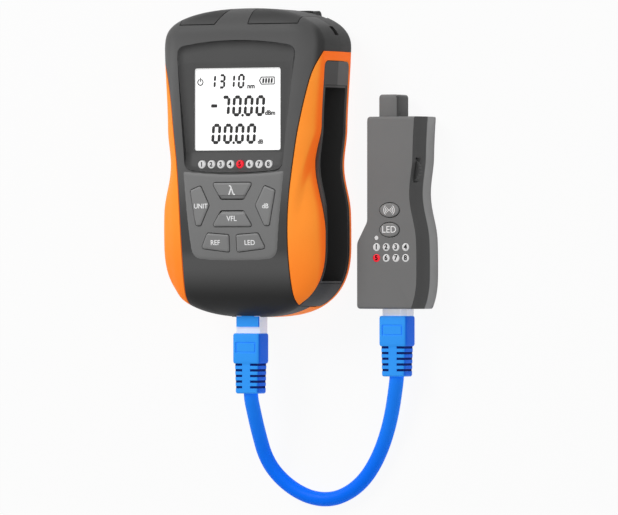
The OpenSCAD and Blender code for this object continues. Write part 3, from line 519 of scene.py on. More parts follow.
CABLE_D = 6.2
CABLE_Z = CABLE_D / 2 + 0.1
ROUTE = points(
    (-1, -97, 20), (-1, -101, 19.3), (-1, -106, 17.2), (-1, -112, 14.4), (-0.9, -118, 11.4),
    (-0.4, -123.5, 8.9),
    (1.2, -128.6, 6.8), (4, -133, 5.2), (8, -136.9, 4.1), (13, -140.1, 3.5), (18.8, -142.4, CABLE_Z),
    (25, -143.3, CABLE_Z), (31, -142.7, CABLE_Z), (36.6, -140.6, CABLE_Z), (41.6, -137.4, CABLE_Z),
    (45.9, -133.2, CABLE_Z), (49.6, -128.2, 3.4), (52.8, -122.6, 3.8), (55.6, -116.6, 4.5), (58, -110.4, 5.4),
    (60, -104.2, 6.5), (61.6, -98.2, 7.6), (62.8, -92.6, 8.4), (63.3, -89, 8.7))


def smooth_route(route, steps=6):
    """Points along a Catmull-Rom curve through the route."""
    ends = [route[0] * 2 - route[1]] + list(route) + [route[-1] * 2 - route[-2]]
    out = []
    for i in range(1, len(ends) - 2):
        p0, p1, p2, p3 = ends[i - 1:i + 3]
        for k in range(steps):
            t = k / steps
            out.append(0.5 * (2 * p1 + (p2 - p0) * t + (2 * p0 - 5 * p1 + 4 * p2 - p3) * t * t
                              + (3 * p1 - p0 - 3 * p2 + p3) * t ** 3))
    return out + [route[-1]]


def make_cable():
    path = smooth_route(ROUTE)
    curve = bpy.data.curves.new("patch_cable_jacket", "CURVE")
    curve.dimensions = "3D"
    spline = curve.splines.new("POLY")
    spline.points.add(len(path) - 1)
    for point, place in zip(spline.points, path):
        point.co = (*place, 1)
    curve.bevel_depth = (CABLE_D / 2 - 0.02) * MM
    curve.bevel_resolution = 8
    curve.use_fill_caps = True
    cable = link(bpy.data.objects.new("patch_cable_jacket", curve))
    dress(cable, "lead_blue", replaces=["patch_cable"])
    length = sum((b - a).length for a, b in zip(path, path[1:]))
    return cable, length, path[0]


# ---- Boots and plugs of the lead ----
def rounded_rect(w, h, r, n=5):
    return rounded([(-w / 2, -h / 2), (w / 2, -h / 2), (w / 2, h / 2), (-w / 2, h / 2)], r, n)


def rounded_at(x, y, w, h, r, n=4):
    return [(x + px, y + py) for px, py in rounded_rect(w, h, r, n)]


def moved(obj, x, y, z):
    """Shifts a piece's mesh, in millimetres."""
    for v in obj.data.vertices:
        v.co += Vector((x, y, z)) * MM
    return obj


BOOT_W, BOOT_H, BOOT_LEN, BLOCK_LEN = 13.0, 9.4, 25.6, 12.0
TAIL_W, TAIL_H, TAIL_NARROWS, SLOT_N, SPINE_W = 11.8, 8.4, 0.8, 5, 3.8


def make_boot(name, at, node):
    """A boot: a block with an embossed pad, then a tail with shallow slots at both sides of a spine; dark
    strips in the slots are painted shadow.
    """
    def section(w, h, r, y):
        return upright(rounded_rect(w, h, r, 6), y)

    end_w = TAIL_W - TAIL_NARROWS
    boot = loft(name, [
        section(BOOT_W - 1.0, BOOT_H - 1.0, 1.3, 0), section(BOOT_W - 0.3, BOOT_H - 0.3, 1.5, -0.3),
        section(BOOT_W, BOOT_H, 1.6, -0.9), section(BOOT_W, BOOT_H, 1.6, -BLOCK_LEN + 0.2),
        section(BOOT_W - 0.2, BOOT_H - 0.2, 1.6, -BLOCK_LEN - 0.3),
        section(TAIL_W, TAIL_H, 1.6, -BLOCK_LEN - 1.3),
        section(end_w, TAIL_H, 1.6, -BOOT_LEN + 0.5), section(end_w - 0.9, TAIL_H - 0.9, 1.4, -BOOT_LEN)])
    strips = []
    for i in range(SLOT_N):
        y = -BLOCK_LEN - 1.3 - i * 2.4
        slot = block("slot", (-9, y - 0.5, -7), (9, y + 0.5, 7))
        core = TAIL_W / 2 - 1.1 - 0.1 * i
        cut(slot, block("core", (-core, y - 1, 0.7 - TAIL_H / 2), (core, y + 1, TAIL_H / 2 - 0.7)))
        cut(slot, block("spine", (-SPINE_W / 2, y - 1, -8), (SPINE_W / 2, y + 1, 8)))
        cut(boot, slot)
        # A dark strip inside the slot: painted shadow.
        strip = block("strip", (-core - 0.55, y - 0.5, 0.3 - TAIL_H / 2),
                      (core + 0.55, y + 0.5, TAIL_H / 2 - 0.3))
        cut(strip, block("spine", (-SPINE_W / 2, y - 1, -8), (SPINE_W / 2, y + 1, 8)))
        strips.append(strip)
    shade = join_pieces(strips, name + "_slots")
    for piece, slack in ((shade, 0.05), (boot, -0.05)):
        cut(piece, prism_y(disc(0, 0, CABLE_D / 2 + slack, n=40), -BOOT_LEN - 1, 1))
    top = BOOT_H / 2
    moat = prism("moat", rounded_at(0, -6, 9.6, 4.6, 0.4), top - 0.35, top + 1)
    cut(moat, prism("pad", rounded_at(0, -6, 8.6, 3.6, 0.3), top - 1, top - 0.08))
    cut(boot, moat)
    dress(moved(boot, *at), "boot_blue", replaces=[node], bend=32)
    return [boot, dress(moved(shade, *at), "slot_painted_shadow")]


PLUG_W, PLUG_H, PLUG_IN = 11.7, 6.6, 12.4


def make_plug(name, at, visible, node, latch):
    """An 8-way modular plug: a clear body with its contacts' comb, strain bar and a coloured latch."""
    body = prism_y(rounded_rect(PLUG_W, PLUG_H, 0.35, 3), -visible, PLUG_IN, name, -1)
    for i in range(8):
        x = (i - 3.5) * 1.02
        cut(body, block("groove", (x - 0.25, PLUG_IN - 6, PLUG_H / 2 - 1.6),
                        (x + 0.25, PLUG_IN + 1, PLUG_H / 2)))
    dress(moved(body, *at), "plug_clear", replaces=[node], bend=30)
    blue = latch > 1
    broad, narrow = 10.8, 5.8
    widths = [(0.6, broad), (0.65, narrow), (PLUG_IN - 1, narrow)] if blue else [(PLUG_IN - 1, narrow)]
    widths = [(-visible + latch, broad if blue else narrow)] + widths
    tab = loft(name + "_latch", [upright(rounded_rect(w, 1.0, 0.3, 3), y, 2.62) for y, w in widths])
    dress(moved(tab, *at), "boot_blue" if blue else "plug_clear", bend=30)
    leads = prism_y(rounded_rect(8.2, 1.6, 0.2, 2), PLUG_IN - 7.6, PLUG_IN - 0.4, name + "_contacts", -0.2)
    return body, tab, dress(moved(leads, *at), "brass", bend=30)


def make_lead():
    cable, length, start = make_cable()
    pieces = make_boot("meter_boot_ribs", (-1, -72.6, 20), "meter_boot")
    pieces += make_boot("remote_boot_ribs", (63.3, -65, 8.75), "remote_boot")
    pieces += make_plug("meter_plug_body", (-1, -66, 20), 6.6, "meter_plug", 2.8)
    pieces += make_plug("remote_plug_body", (63.3, -62, 8.75), 3.0, "remote_plug", 0.2)


# ---- Shared surfaces of the meter ----
def skin_z(x, y):
    """Height of the body's front at x and y."""
    pts = half_section(y, 0.0)
    x = abs(x)
    for (ax, az), (bx, bz) in zip(pts, pts[1:]):
        if ax <= x <= bx:
            return az + (bz - az) * (x - ax) / max(bx - ax, 1e-9)
        if az < RIDGE_Z:
            break
    return RIDGE_Z


def fine(outline, step=1.2):
    """The same outline with its long edges divided."""
    out = []
    for i, (bx, by) in enumerate(outline):
        ax, ay = outline[i - 1]
        n = max(1, math.ceil(math.hypot(bx - ax, by - ay) / step))
        out += [(ax + (bx - ax) * k / n, ay + (by - ay) * k / n) for k in range(1, n + 1)]
    return out


def pad(name, outline, profile, on, dome=0.0):
    """A piece over an outline whose rim follows profile, (inset, rise) pairs from its foot up.

    on(x, y) is the surface it lies on, and dome is how much its middle is raised."""
    outline = fine(outline)
    rings = []
    for inset, rise in profile:
        rim = grown(outline, -inset) if inset else outline
        rings.append([(x, y, on(x, y) + rise) for x, y in rim])
    cx, cy = [sum(axis) / len(outline) for axis in zip(*outline)]
    for k in (0.8, 0.55, 0.3):
        ring = [(cx + (x - cx) * k, cy + (y - cy) * k) for x, y in rim]
        rings.append([(x, y, on(x, y) + rise + dome * (1 - k * k)) for x, y in ring])
    return loft(name, rings)


def relief(name, outline, profile, on, under, step=0.45):
    """A plate over an outline: a level grid under on(x, y), raised near the outline by profile(distance)."""
    edges = list(zip(outline, outline[1:] + outline[:1]))
    edges = [(ax, ay, bx - ax, by - ay, max((bx - ax) ** 2 + (by - ay) ** 2, 1e-12))
             for (ax, ay), (bx, by) in edges]

    def inset(x, y):
        best = 1e9
        for ax, ay, dx, dy, size in edges:
            k = clip(((x - ax) * dx + (y - ay) * dy) / size, 0.0, 1.0)
            best = min(best, (x - ax - k * dx) ** 2 + (y - ay - k * dy) ** 2)
        return math.sqrt(best)

    xs, ys = [p[0] for p in outline], [p[1] for p in outline]
    x0, x1, y0, y1 = min(xs) - 0.3, max(xs) + 0.3, min(ys) - 0.3, max(ys) + 0.3
    nx, ny = math.ceil((x1 - x0) / step), math.ceil((y1 - y0) / step)
    top = [(x0 + (x1 - x0) * i / nx, y0 + (y1 - y0) * j / ny) for j in range(ny + 1) for i in range(nx + 1)]
    verts = [(x, y, on(x, y) + profile(inset(x, y))) for x, y in top]
    m = len(verts)
    verts += [(x, y, on(x, y) - under) for x, y in top]
    row = nx + 1
    faces = []
    for j in range(ny):
        for i in range(nx):
            k = j * row + i
            faces += [(k, k + 1, k + row + 1, k + row), (m + k, m + k + row, m + k + row + 1, m + k + 1)]
    rim = list(range(row)) + [j * row + nx for j in range(1, ny + 1)]
    rim += [ny * row + i for i in range(nx - 1, -1, -1)] + [j * row for j in range(ny - 1, 0, -1)]
    faces += [(a, b, b + m, a + m) for a, b in zip(rim, rim[1:] + rim[:1])]
    return cut(new_object(name, verts, faces), prism("edge", outline, -10, 80), "INTERSECT")


def steps_at(rows):
    """The height at a distance, between rows of (distance, height)."""
    def height(d):
        for (d0, h0), (d1, h1) in zip(rows, rows[1:]):
            if d <= d1:
                return h0 + (h1 - h0) * clip((d - d0) / (d1 - d0), 0.0, 1.0)
        return rows[-1][1]
    return height


# ---- Regions that divide the body's skin ----
FAR = 100.0


def grip_zone(side, g):
    """Where a grip lies, g smaller at its edges: outside grip_x in front, lapped round the back's edge.

    The lap ends where the solid's own inner edge is."""
    ys = [-70 + (GRIP_TOP_Y - 0.3 * g + 70) * i / 60 for i in range(61)]
    front = [(side * (grip_x(y) + g), y) for y in ys] + [(side * FAR, ys[-1]), (side * FAR, ys[0])]
    back = [(side * max(half_w(clip(y, -END_Y, END_Y)) - GRIP_LAP + g, GRIP_IN_X), y) for y in ys]
    back += [(side * FAR, ys[-1]), (side * FAR, ys[0])]
    zone = prism("zone", front, RIDGE_Z, 60)
    return cut(zone, prism("zone_back", back, -5, RIDGE_Z + 0.01), "UNION")


DOCK_LOW_Y, DOCK_TOP_Y, DOCK_LOW_Z, DOCK_TOP_Z, DOCK_IN_X = -61.3, 43.1, 5.8, 28.2, 20.0


def dock_window(g, r):
    """A prism out through the right flank over the dock's rounded window, g smaller."""
    low_y, top_y, low_z, top_z = DOCK_LOW_Y + g, DOCK_TOP_Y - g, DOCK_LOW_Z + g, DOCK_TOP_Z - g
    corners = [(low_y, low_z), (top_y, low_z), (top_y, top_z), (low_y, top_z)]
    return prism_x(rounded(corners, r, 6), DOCK_IN_X, FAR)


REMOTE_AT = (38.8, -12.1, -8.25)
REMOTE_LOW_Y, REMOTE_TOP_Y = -49.9, 31.3
REMOTE_LOW_Z, REMOTE_TOP_Z = 8.25, 25.75
REMOTE_X0, REMOTE_STEP = 9.6, 4.8
STEP_LOW_Y, STEP_HIGH_Y = -22.0, -13.1
TIP_X, TIP_W, TIP_LEN = 18.5, 8.8, 9.4
DOCK_GAP, TRAY_WALL = 0.4, 1.0


def remote_corners(g, far=FAR):
    """Corners of the docked remote's plan, g bigger, open towards the flank."""
    x, low_y, top_y = REMOTE_X0 - g, REMOTE_LOW_Y - g, REMOTE_TOP_Y + g
    return [(x, low_y), (far, low_y), (far, top_y), (x + REMOTE_STEP, top_y), (x + REMOTE_STEP, STEP_HIGH_Y),
            (x, STEP_LOW_Y)]


def dock_room(g, x0=None):
    """The docked remote's space, g bigger all round, or its part beyond x0."""
    low, top = REMOTE_LOW_Z - g, REMOTE_TOP_Z + g
    if x0 is None:
        room = prism("dock_room", remote_corners(g), low, top)
    else:
        room = block("dock_room", (x0, REMOTE_LOW_Y - g, low), (FAR, REMOTE_TOP_Y + g, top))
    tip = block("tip_room", (max(TIP_X - g, x0 or 0), REMOTE_TOP_Y - 1, low),
                (TIP_X + TIP_W + g, REMOTE_TOP_Y + TIP_LEN + g, top))
    return cut(room, tip, "UNION")


HINGE_Y, HINGE_Z, SEAM_Y, PORT_Z = 62.4, 4.2, 58.5, 21.0
COVER_IN_X, COVER_OUT_X, COVER_SLANT, BARREL_X, BARREL_LEN = 5.2, 28.6, 0.6, 16.2, 9.4


def cover_room(side, g):
    """Where a dust cover lies, g smaller; the left cover's inner edge slants."""
    slant = COVER_SLANT if side < 0 else 0.0
    plan = [(side * (COVER_IN_X + g + slant * (END_Y + 2 - SEAM_Y)), SEAM_Y + g),
            (side * (COVER_OUT_X - g), SEAM_Y + g),
            (side * (COVER_OUT_X - g), END_Y + 2), (side * (COVER_IN_X + g), END_Y + 2)]
    return prism("cover_room", plan, HINGE_Z, 60)


def lanyard_block():
    """The lanyard's slot through the right shoulder, turned 45 degrees."""
    px, py = LANYARD_AT
    w, h, depth = LANYARD_SIZE
    half = math.sqrt(0.5)
    outline = [(px + (x - y) * half, py + (x + y) * half) for x, y in rounded_rect(w, h, 1.0)]
    return prism("lanyard", outline, RIDGE_Z - depth / 2, RIDGE_Z + depth / 2)


# ---- Display and keypad outlines ----
def bezel_outline():
    spread = [-1, *[0.68 * k / 7 for k in range(-7, 8)], 1]
    low = [(23.3 * a, -4.4 + 1.4 * a * a) for a in spread]
    top = [(-28.6 * a, 51.7 - 2.7 * a * a) for a in spread]
    return rounded(low + top, [4, *[0] * 15, 4] * 2, 8)


def bezel_z(x, y):
    """Height of the display bezel's face: level round the window, then an even rise to the keypad panel."""
    if y > 40:
        return 34.0 - 0.8 * clip((y - 42.5) / 10.2, 0, 1)
    rise = clip((4.3 - y) / 9.7, 0, 1)
    return 34.0 + 3.1 * rise - 0.18 * (x / 23) ** 2 * rise


WINDOW = (0.0, 22.65, 41.5, 34.7)


def window_outline(g, r=1.0):
    x, y, w, h = WINDOW
    return [(x + px, y + py) for px, py in rounded_rect(w + 2 * g, h + 2 * g, r, 5)]


PANEL_TOP_Y, PANEL_LOW_Y, PANEL_TOP_W, PANEL_LOW_W = -3.4, -41.8, 24.5, 20.5


def panel_outline():
    low = [(PANEL_LOW_W * a, PANEL_LOW_Y + 0.8 * a * a) for a in [-1, -0.5, -0.25, 0, 0.25, 0.5, 1]]
    sides = [(PANEL_LOW_W + (PANEL_TOP_W - PANEL_LOW_W) * s, PANEL_LOW_Y + (PANEL_TOP_Y - PANEL_LOW_Y) * s)
             for s in (0.35, 0.7)]
    top = [(PANEL_TOP_W * a, -4.9 + 1.45 * a * a) for a in (1, 0.75, 0.5, 0.25, 0, -0.25, -0.5, -0.75, -1)]
    left = [(-x, y) for x, y in reversed(sides)]
    radii = [8, *[0] * 5, 8, 0, 0, 1, *[0] * 7, 1, 0, 0]
    return rounded(low + sides + top + left, radii, 8)


WIDE_KEY, NARROW_KEY = 9.7, 5.4
UNIT_PTS = [(-20.4, -11.8), (-17.6, -26.8), (-15.4, -26.8), (-11.2, -18.2), (-15.4, -9.9)]
REF_PTS = [(-12.2, -30), (-15.4, -36.4), (-1.8, -38), (-1.8, -30.7)]


def flipped(pts):
    return [(-x, y) for x, y in reversed(pts)]


KEYS = {
    "key_wavelength": [(WIDE_KEY, -8.6), (-WIDE_KEY, -8.6), (-NARROW_KEY, -15.6), (NARROW_KEY, -15.6)],
    "key_unit": UNIT_PTS,
    "key_db": flipped(UNIT_PTS),
    "key_vfl": [(NARROW_KEY, -20.6), (-NARROW_KEY, -20.6), (-WIDE_KEY, -27.2), (WIDE_KEY, -27.2)],
    "key_ref": REF_PTS,
    "key_led": flipped(REF_PTS),
}


def key_outline(name):
    return rounded(KEYS[name], 1.0, 5)


def cut_key_rooms(plate):
    """The openings round the six keys."""
    for name in KEYS:
        cut(plate, prism("key_room", grown(key_outline(name), 0.3), 24, 60))


# ---- Meter shells ----
CASE_SCREWS = ((-27, 46), (27, 49), (-24, -54), (20, -57))
EAR_R, EAR_HALF_T, EAR_X = 2.4, 1.2, (10, 22.4)
LANYARD_AT, LANYARD_SIZE = (37, 55.4), (8, 4.8, 3.2)
def jack_room(shell):
    """The meter socket's room: low where it opens at the end, full height behind the rolled edge."""
    cut(shell, block("jack_mouth", (-8.8, -67, 13.4), (6.8, -48, 23.2)))
    cut(shell, block("jack_room", (-8.8, -63.4, 13.4), (6.8, -48, 26.6)))


def cut_openings(shell):
    """The openings that both halves of the case have."""
    for side in (-1, 1):
        cut(shell, cover_room(side, 0))
    cut(shell, dock_room(DOCK_GAP + TRAY_WALL, 25.0))
    jack_room(shell)
    cut(shell, prism_y(disc(0, PORT_Z, 2.6), 56, 68))
    cut(shell, block("usb_room", (-15.9, -67, 6.6), (-8.1, -58, 9.5)))
    return cut(shell, lanyard_block())


def make_cases():
    """Front and rear case: one hollow blank, halved at the ridge."""
    blank = body_form("case_blank", 0.0, 56, soft_left)
    for side in (-1, 1):
        cut(blank, grip_zone(side, 0.0))
    cut(blank, body_form("core", GRIP_T, 40), "UNION")
    cut(blank, body_form("hollow", CASE_T, 24))
    cut_openings(blank)
    front = blank
    rear = twin(blank)
    front.name = "front_case_shell"
    rear.name = "rear_case_shell"
    cut(front, block("half", (-FAR, -FAR, -FAR), (FAR, FAR, RIDGE_Z + 0.02)))
    cut(front, prism("bezel_room", grown(bezel_outline(), 0.12), 24, 60))
    cut_key_rooms(front)
    cut(rear, block("half", (-FAR, -FAR, RIDGE_Z), (FAR, FAR, FAR)))
    for side in (-1, 1):
        near, far = sorted((side * COVER_IN_X, side * (COVER_OUT_X - 1.1)))
        cut(rear, block("hinge_room", (near, 59.3, -1), (far, 80, 6.7)))
    cut(rear, block("door_room", (-29.2, -48, -1), (3.0, 8, 5)))
    for x, y in CASE_SCREWS:
        cut(rear, prism("screw_room", disc(x, y, 2.8), -1, 1.65))
    for side in (-1, 1):
        for x in EAR_X:
            cut(rear, prism_x(ear_profile(), side * x - EAR_HALF_T, side * x + EAR_HALF_T), "UNION")
    dress(front, "case_grey", replaces=["front_case"])
    dress(rear, "case_back", replaces=["rear_case"])


def ear_profile():
    """Side of a hinge ear: a foot in the case, rounded about the pin."""
    arc = [(HINGE_Y + EAR_R * math.cos(a), HINGE_Z + EAR_R * math.sin(a))
           for a in [math.radians(-110 + 200 * i / 16) for i in range(17)]]
    return arc + [(HINGE_Y - 8, HINGE_Z + EAR_R), (HINGE_Y - 8, 0.6)]


def soft_left(x, y, z):
    """How much softer the front's left edge is, fading out over the shoulder."""
    return -1.2 * smooth(28, 34.5, -x) * smooth(20, 27, z) * (1 - smooth(50, 60, y)) if x < 0 else 0.0


def scallop(x, y, z):
    """The right grip's thumb scoop, with a crease along its inner side, and the left grip's softer edge."""
    if x < 0:
        return soft_left(x, y, z)
    if z < RIDGE_Z + 3 or y < -30 or y > 20:
        return 0.0
    crease = 28.2 + 9.5 * clip((y + 24) / 40, 0, 2) ** 1.6
    across = clip((abs(x) - crease) / 3.2, 0, 1)
    deep = smooth(-30, -14, y) * (1 - smooth(6, 19, y)) * smooth(RIDGE_Z + 3, RIDGE_Z + 9, z)
    return -1.5 * across * deep


def make_grip(side, name, node):
    grip = body_form(name, 0.0, 72, scallop)
    cut(grip, body_form("under", GRIP_T, 40))
    cut(grip, grip_zone(side, SEAM), "INTERSECT")
    if side > 0:
        cut(grip, dock_window(0, 3.2))
        cut(grip, dock_room(DOCK_GAP + TRAY_WALL, 25.0))
    jack_room(grip)
    return dress(grip, "grip_orange", replaces=[node])


def make_dock():
    frame_piece = body_form("dock_frame_liner", 0.05, 56)
    cut(frame_piece, body_form("under", GRIP_T, 40))
    cut(frame_piece, grip_zone(1, SEAM), "INTERSECT")
    cut(frame_piece, dock_window(0.3, 3.0), "INTERSECT")
    cut(frame_piece, dock_room(DOCK_GAP + TRAY_WALL))
    dress(frame_piece, "liner_grey", replaces=["dock_frame"])
    tray = dock_room(DOCK_GAP + TRAY_WALL - 0.05)
    cut(tray, body_form("inside_skin", 0.3, 56), "INTERSECT")
    cut(tray, dock_room(DOCK_GAP))
    tray.name = "dock_tray_liner"
    dress(tray, "tray_black", replaces=["dock_tray"])


def make_cover_seat():
    """The dark ledge that the covers close on."""
    seat = body_form("cover_seat", 2.1, 40)
    cut(seat, body_form("under", 3.6, 24))
    cut(seat, block("reach", (-29, 56.5, 10), (29, 59.6, 60)), "INTERSECT")
    dress(seat, "jack_black")


def make_cover(side, name, node):
    """A hinged dust cover: a cap off the body's own end, with cheeks and a barrel on its pin."""
    cap = body_form(name, 0.0, 48)
    cut(cap, body_form("under", 1.8, 40))
    cut(cap, cover_room(side, 0.3), "INTERSECT")
    cut(cap, prism_x(disc(HINGE_Y, HINGE_Z, 3.1, n=24), -FAR, FAR))
    x0, x1 = side * BARREL_X - BARREL_LEN / 2, side * BARREL_X + BARREL_LEN / 2
    barrel = prism_x(disc(HINGE_Y, HINGE_Z, 2.4, n=32), x0, x1)
    cut(barrel, block("neck", (x0, HINGE_Y, HINGE_Z), (x1, END_Y - 0.9, HINGE_Z + 4.4)), "UNION")
    cut(cap, barrel, "UNION")
    for x in (COVER_IN_X + 3.6, COVER_OUT_X - 4.6):
        cheek = block("cheek", (side * x - 0.6, SEAM_Y + 2.4, HINGE_Z), (side * x + 0.6, END_Y + 1, 60))
        cut(cheek, body_form("skin", 0.6, 24), "INTERSECT")
        cut(cap, cheek, "UNION")
    cut(cap, prism_x(disc(HINGE_Y, HINGE_Z, 0.85, n=24), -FAR, FAR))
    return dress(cap, "cover_grey", body=node, replaces=[node])


# ---- Lettering ----
def lettering(name, words, on, finish, lift=0.02, body="root", weight=0.0):
    """Words as one thin piece that follows a surface; words holds (text, x, y, size)."""
    verts, faces = [], []
    for text, x, y, size in words:
        curve = bpy.data.curves.new("word", "FONT")
        curve.body = text
        curve.size = size
        curve.align_x = "CENTER"
        curve.align_y = "CENTER"
        curve.resolution_u = 4
        curve.extrude = 0.04
        curve.offset = weight
        word = link(bpy.data.objects.new("word", curve))
        mesh = evaluated_mesh(word)
        base = len(verts)
        for v in mesh.vertices:
            px, py = v.co.x + x, v.co.y + y
            verts.append((px, py, on(px, py) + lift + v.co.z))
        faces += [tuple(base + i for i in p.vertices) for p in mesh.polygons]
        bpy.data.meshes.remove(mesh)
        bpy.data.objects.remove(word)
        bpy.data.curves.remove(curve)
    return dress(new_object(name, verts, faces), finish, body=body)


def join_pieces(pieces, name):
    """Pieces as one, without changing their shapes."""
    verts, faces = [], []
    for piece in pieces:
        base = len(verts)
        verts += [tuple(v.co / MM) for v in piece.data.vertices]
        faces += [tuple(base + i for i in p.vertices) for p in piece.data.polygons]
        mesh = piece.data
        bpy.data.objects.remove(piece)
        bpy.data.meshes.remove(mesh)
    return raw_object(name, verts, faces)


# ---- Display ----
LENS_Z, LCD_Z = 33.6, 33.0
LINE_LAMP_Y, LINE_LAMP_PITCH, LAMP_N, LIT_LAMP = -0.8, 4.6, 8, 4
# a row's figures, first centre and pitch in x, centre in y, then a figure's width, height and stroke
FIGURE_ROWS = (("1310", -12.4, 4.62, 34.5, 3.2, 6.2, 1.0), ("7000", -6.15, 5.6, 24.0, 4.4, 8.9, 1.4),
               ("0000", -10.6, 5.65, 12.2, 4.4, 8.7, 1.4))
SEGMENTS = {"0": "abcdef", "1": "bc", "3": "abcdg", "7": "abc"}


def line_lamp_x(i):
    return 0.1 + LINE_LAMP_PITCH * (i - 3.5)


def mark(name, outline):
    """A thin printed shape on the liquid-crystal plate."""
    return prism(name, outline, LCD_Z, LCD_Z + 0.05)


def hole(shape, outline):
    """Cuts an outline out of a printed shape."""
    return cut(shape, prism("void", outline, LCD_Z - 1, LCD_Z + 1))


def digit(figure, x, y, w, h, t):
    """Segments of one figure about x, y: tapered bars with small gaps, leaning slightly."""
    hw, hh, gap = w / 2 - t / 2, h / 2 - t / 2, t * 0.12
    ends = {"a": ((-hw, hh), (hw, hh)), "b": ((hw, hh), (hw, 0)), "c": ((hw, 0), (hw, -hh)),
            "d": ((-hw, -hh), (hw, -hh)), "e": ((-hw, -hh), (-hw, 0)), "f": ((-hw, 0), (-hw, hh)),
            "g": ((-hw, 0), (hw, 0))}
    bars = []
    for key in SEGMENTS[figure]:
        (ax, ay), (bx, by) = ends[key]
        a, b = Vector((ax, ay)), Vector((bx, by))
        along = (b - a).normalized()
        side = Vector((-along.y, along.x)) * t / 2
        a, b = a + along * gap, b - along * gap
        taper = along * t * 0.36
        corners = [a, a + taper - side, b - taper - side, b, b - taper + side, a + taper + side]
        outline = [(x + p.x + 0.07 * p.y, y + p.y) for p in corners]
        bars.append(mark("bar", rounded(outline, 0.08, 2)))
    return bars


def make_lcd():
    """The bezel, its window, the liquid-crystal plate and the printed figures."""
    rim = steps_at([(0, 1.9), (0.3, 1.35), (0.75, 0.8), (1.4, 0.36), (2.2, 0.1), (3.2, 0)])
    bezel = relief("display_bezel_face", bezel_outline(), rim, bezel_z, 0.92)
    cut(bezel, prism("window", window_outline(0.1), 25, 45))
    for i in range(LAMP_N):
        cut(bezel, prism("lamp", disc(line_lamp_x(i), LINE_LAMP_Y, 1.85, n=40), 25, 45))
    dress(bezel, "bezel_grey", replaces=["display_bezel"])
    level = lambda x, y: 0.0
    lens = pad("display_window_lens", window_outline(0),
               [(0, LENS_Z - 0.35), (0, LENS_Z - 0.08), (0.08, LENS_Z)], level)
    dress(lens, "window_clear", replaces=["display_window"])
    plate = pad("lcd_plate", window_outline(0.8, 1.6), [(0, LCD_Z - 1.8), (0, LCD_Z)], level)
    dress(plate, "lcd_glass", replaces=["lcd_panel"])
    ink = [mark("bar", rounded_at(-11.6, 24.1, 3.0, 1.4, 0.5))]
    ink += [mark("dot", disc(x, y, 0.62, n=20)) for x, y in ((2.1, 20.0), (-2.2, 8.4))]
    for figures, x, pitch, y, w, h, t in FIGURE_ROWS:
        for i, figure in enumerate(figures):
            ink += digit(figure, x + pitch * i, y, w, h, t)
    ink += battery_icon(13.9, 34.6) + power_icon(-18.3, 34.2)
    dress(join_pieces(ink, "lcd_figures"), "lcd_ink", bend=20)
    flat = lambda x, y: LCD_Z
    lettering("lcd_units", [("nm", 6.2, 32.3, 2.9), ("dBm", 15.4, 20.9, 2.7), ("dB", 10.7, 8.7, 2.5)], flat,
              "lcd_ink", weight=0.11)


def battery_icon(x, y):
    """A cell with a pointed end and four slanting bars."""
    shell = mark("cell", rounded([(x - 3.9, y), (x - 2.9, y + 1.7), (x + 3.7, y + 1.7), (x + 3.7, y - 1.7),
                                  (x - 2.9, y - 1.7)], 0.3, 3))
    hole(shell, rounded([(x - 3.3, y), (x - 2.6, y + 1.28), (x + 3.28, y + 1.28), (x + 3.28, y - 1.28),
                         (x - 2.6, y - 1.28)], 0.2, 3))
    lean = [(-2.35, -0.98), (-1.45, -0.98), (-1.25, 0.98), (-2.15, 0.98)]
    return [shell] + [mark("bar", rounded([(x + dx + 1.35 * i, y + dy) for dx, dy in lean], 0.1, 2))
                      for i in range(4)]


def power_icon(x, y):
    """An open ring with a tick in its gap."""
    ring = hole(mark("ring", disc(x, y, 1.48, n=36)), disc(x, y, 1.02, n=36))
    cut(ring, block("gap", (x - 0.42, y + 0.6, LCD_Z - 1), (x + 0.42, y + 2, LCD_Z + 1)))
    return [ring, mark("tick", rounded_at(x, y + 1.1, 0.42, 1.9, 0.12))]


def lamp_discs(stem, places, r, rims, face, at=(0, 0, 0)):
    """Eight lamp discs on a face: the unlit ones as one piece, then the lit one."""
    def lamp(place):
        return pad(stem + "_lamp_lit_disc", disc(*place, r, n=40), [(0, -4), *rims], face, dome=0.06)

    unlit = [lamp(place) for i, place in enumerate(places) if i != LIT_LAMP]
    dress(moved(join_pieces(unlit, stem + "_lamp_discs"), *at), "lamp_grey", replaces=[stem + "_lamps"])
    dress(moved(lamp(places[LIT_LAMP]), *at), "lamp_red", replaces=[stem + "_lamp_lit"])


def lamp_numbers(stem, places, size, on, weight):
    words = [(str(i + 1), x, y, size) for i, (x, y) in enumerate(places)]
    lettering(stem + "_lamp_numbers", words, on, "lcd_ink", lift=0, weight=weight)


def make_line_lamps():
    """The numbered line lamps under the display, level on the bezel's slope."""
    z = bezel_z(0, -2.2)
    places = [(line_lamp_x(i), LINE_LAMP_Y) for i in range(LAMP_N)]
    lamp_discs("line", places, 1.75, [(0, -0.1), (0.12, 0.03), (0.4, 0.07)], lambda x, y: z)
    lamp_numbers("line", places, 2.7, lambda x, y: z + 0.14, 0.07)


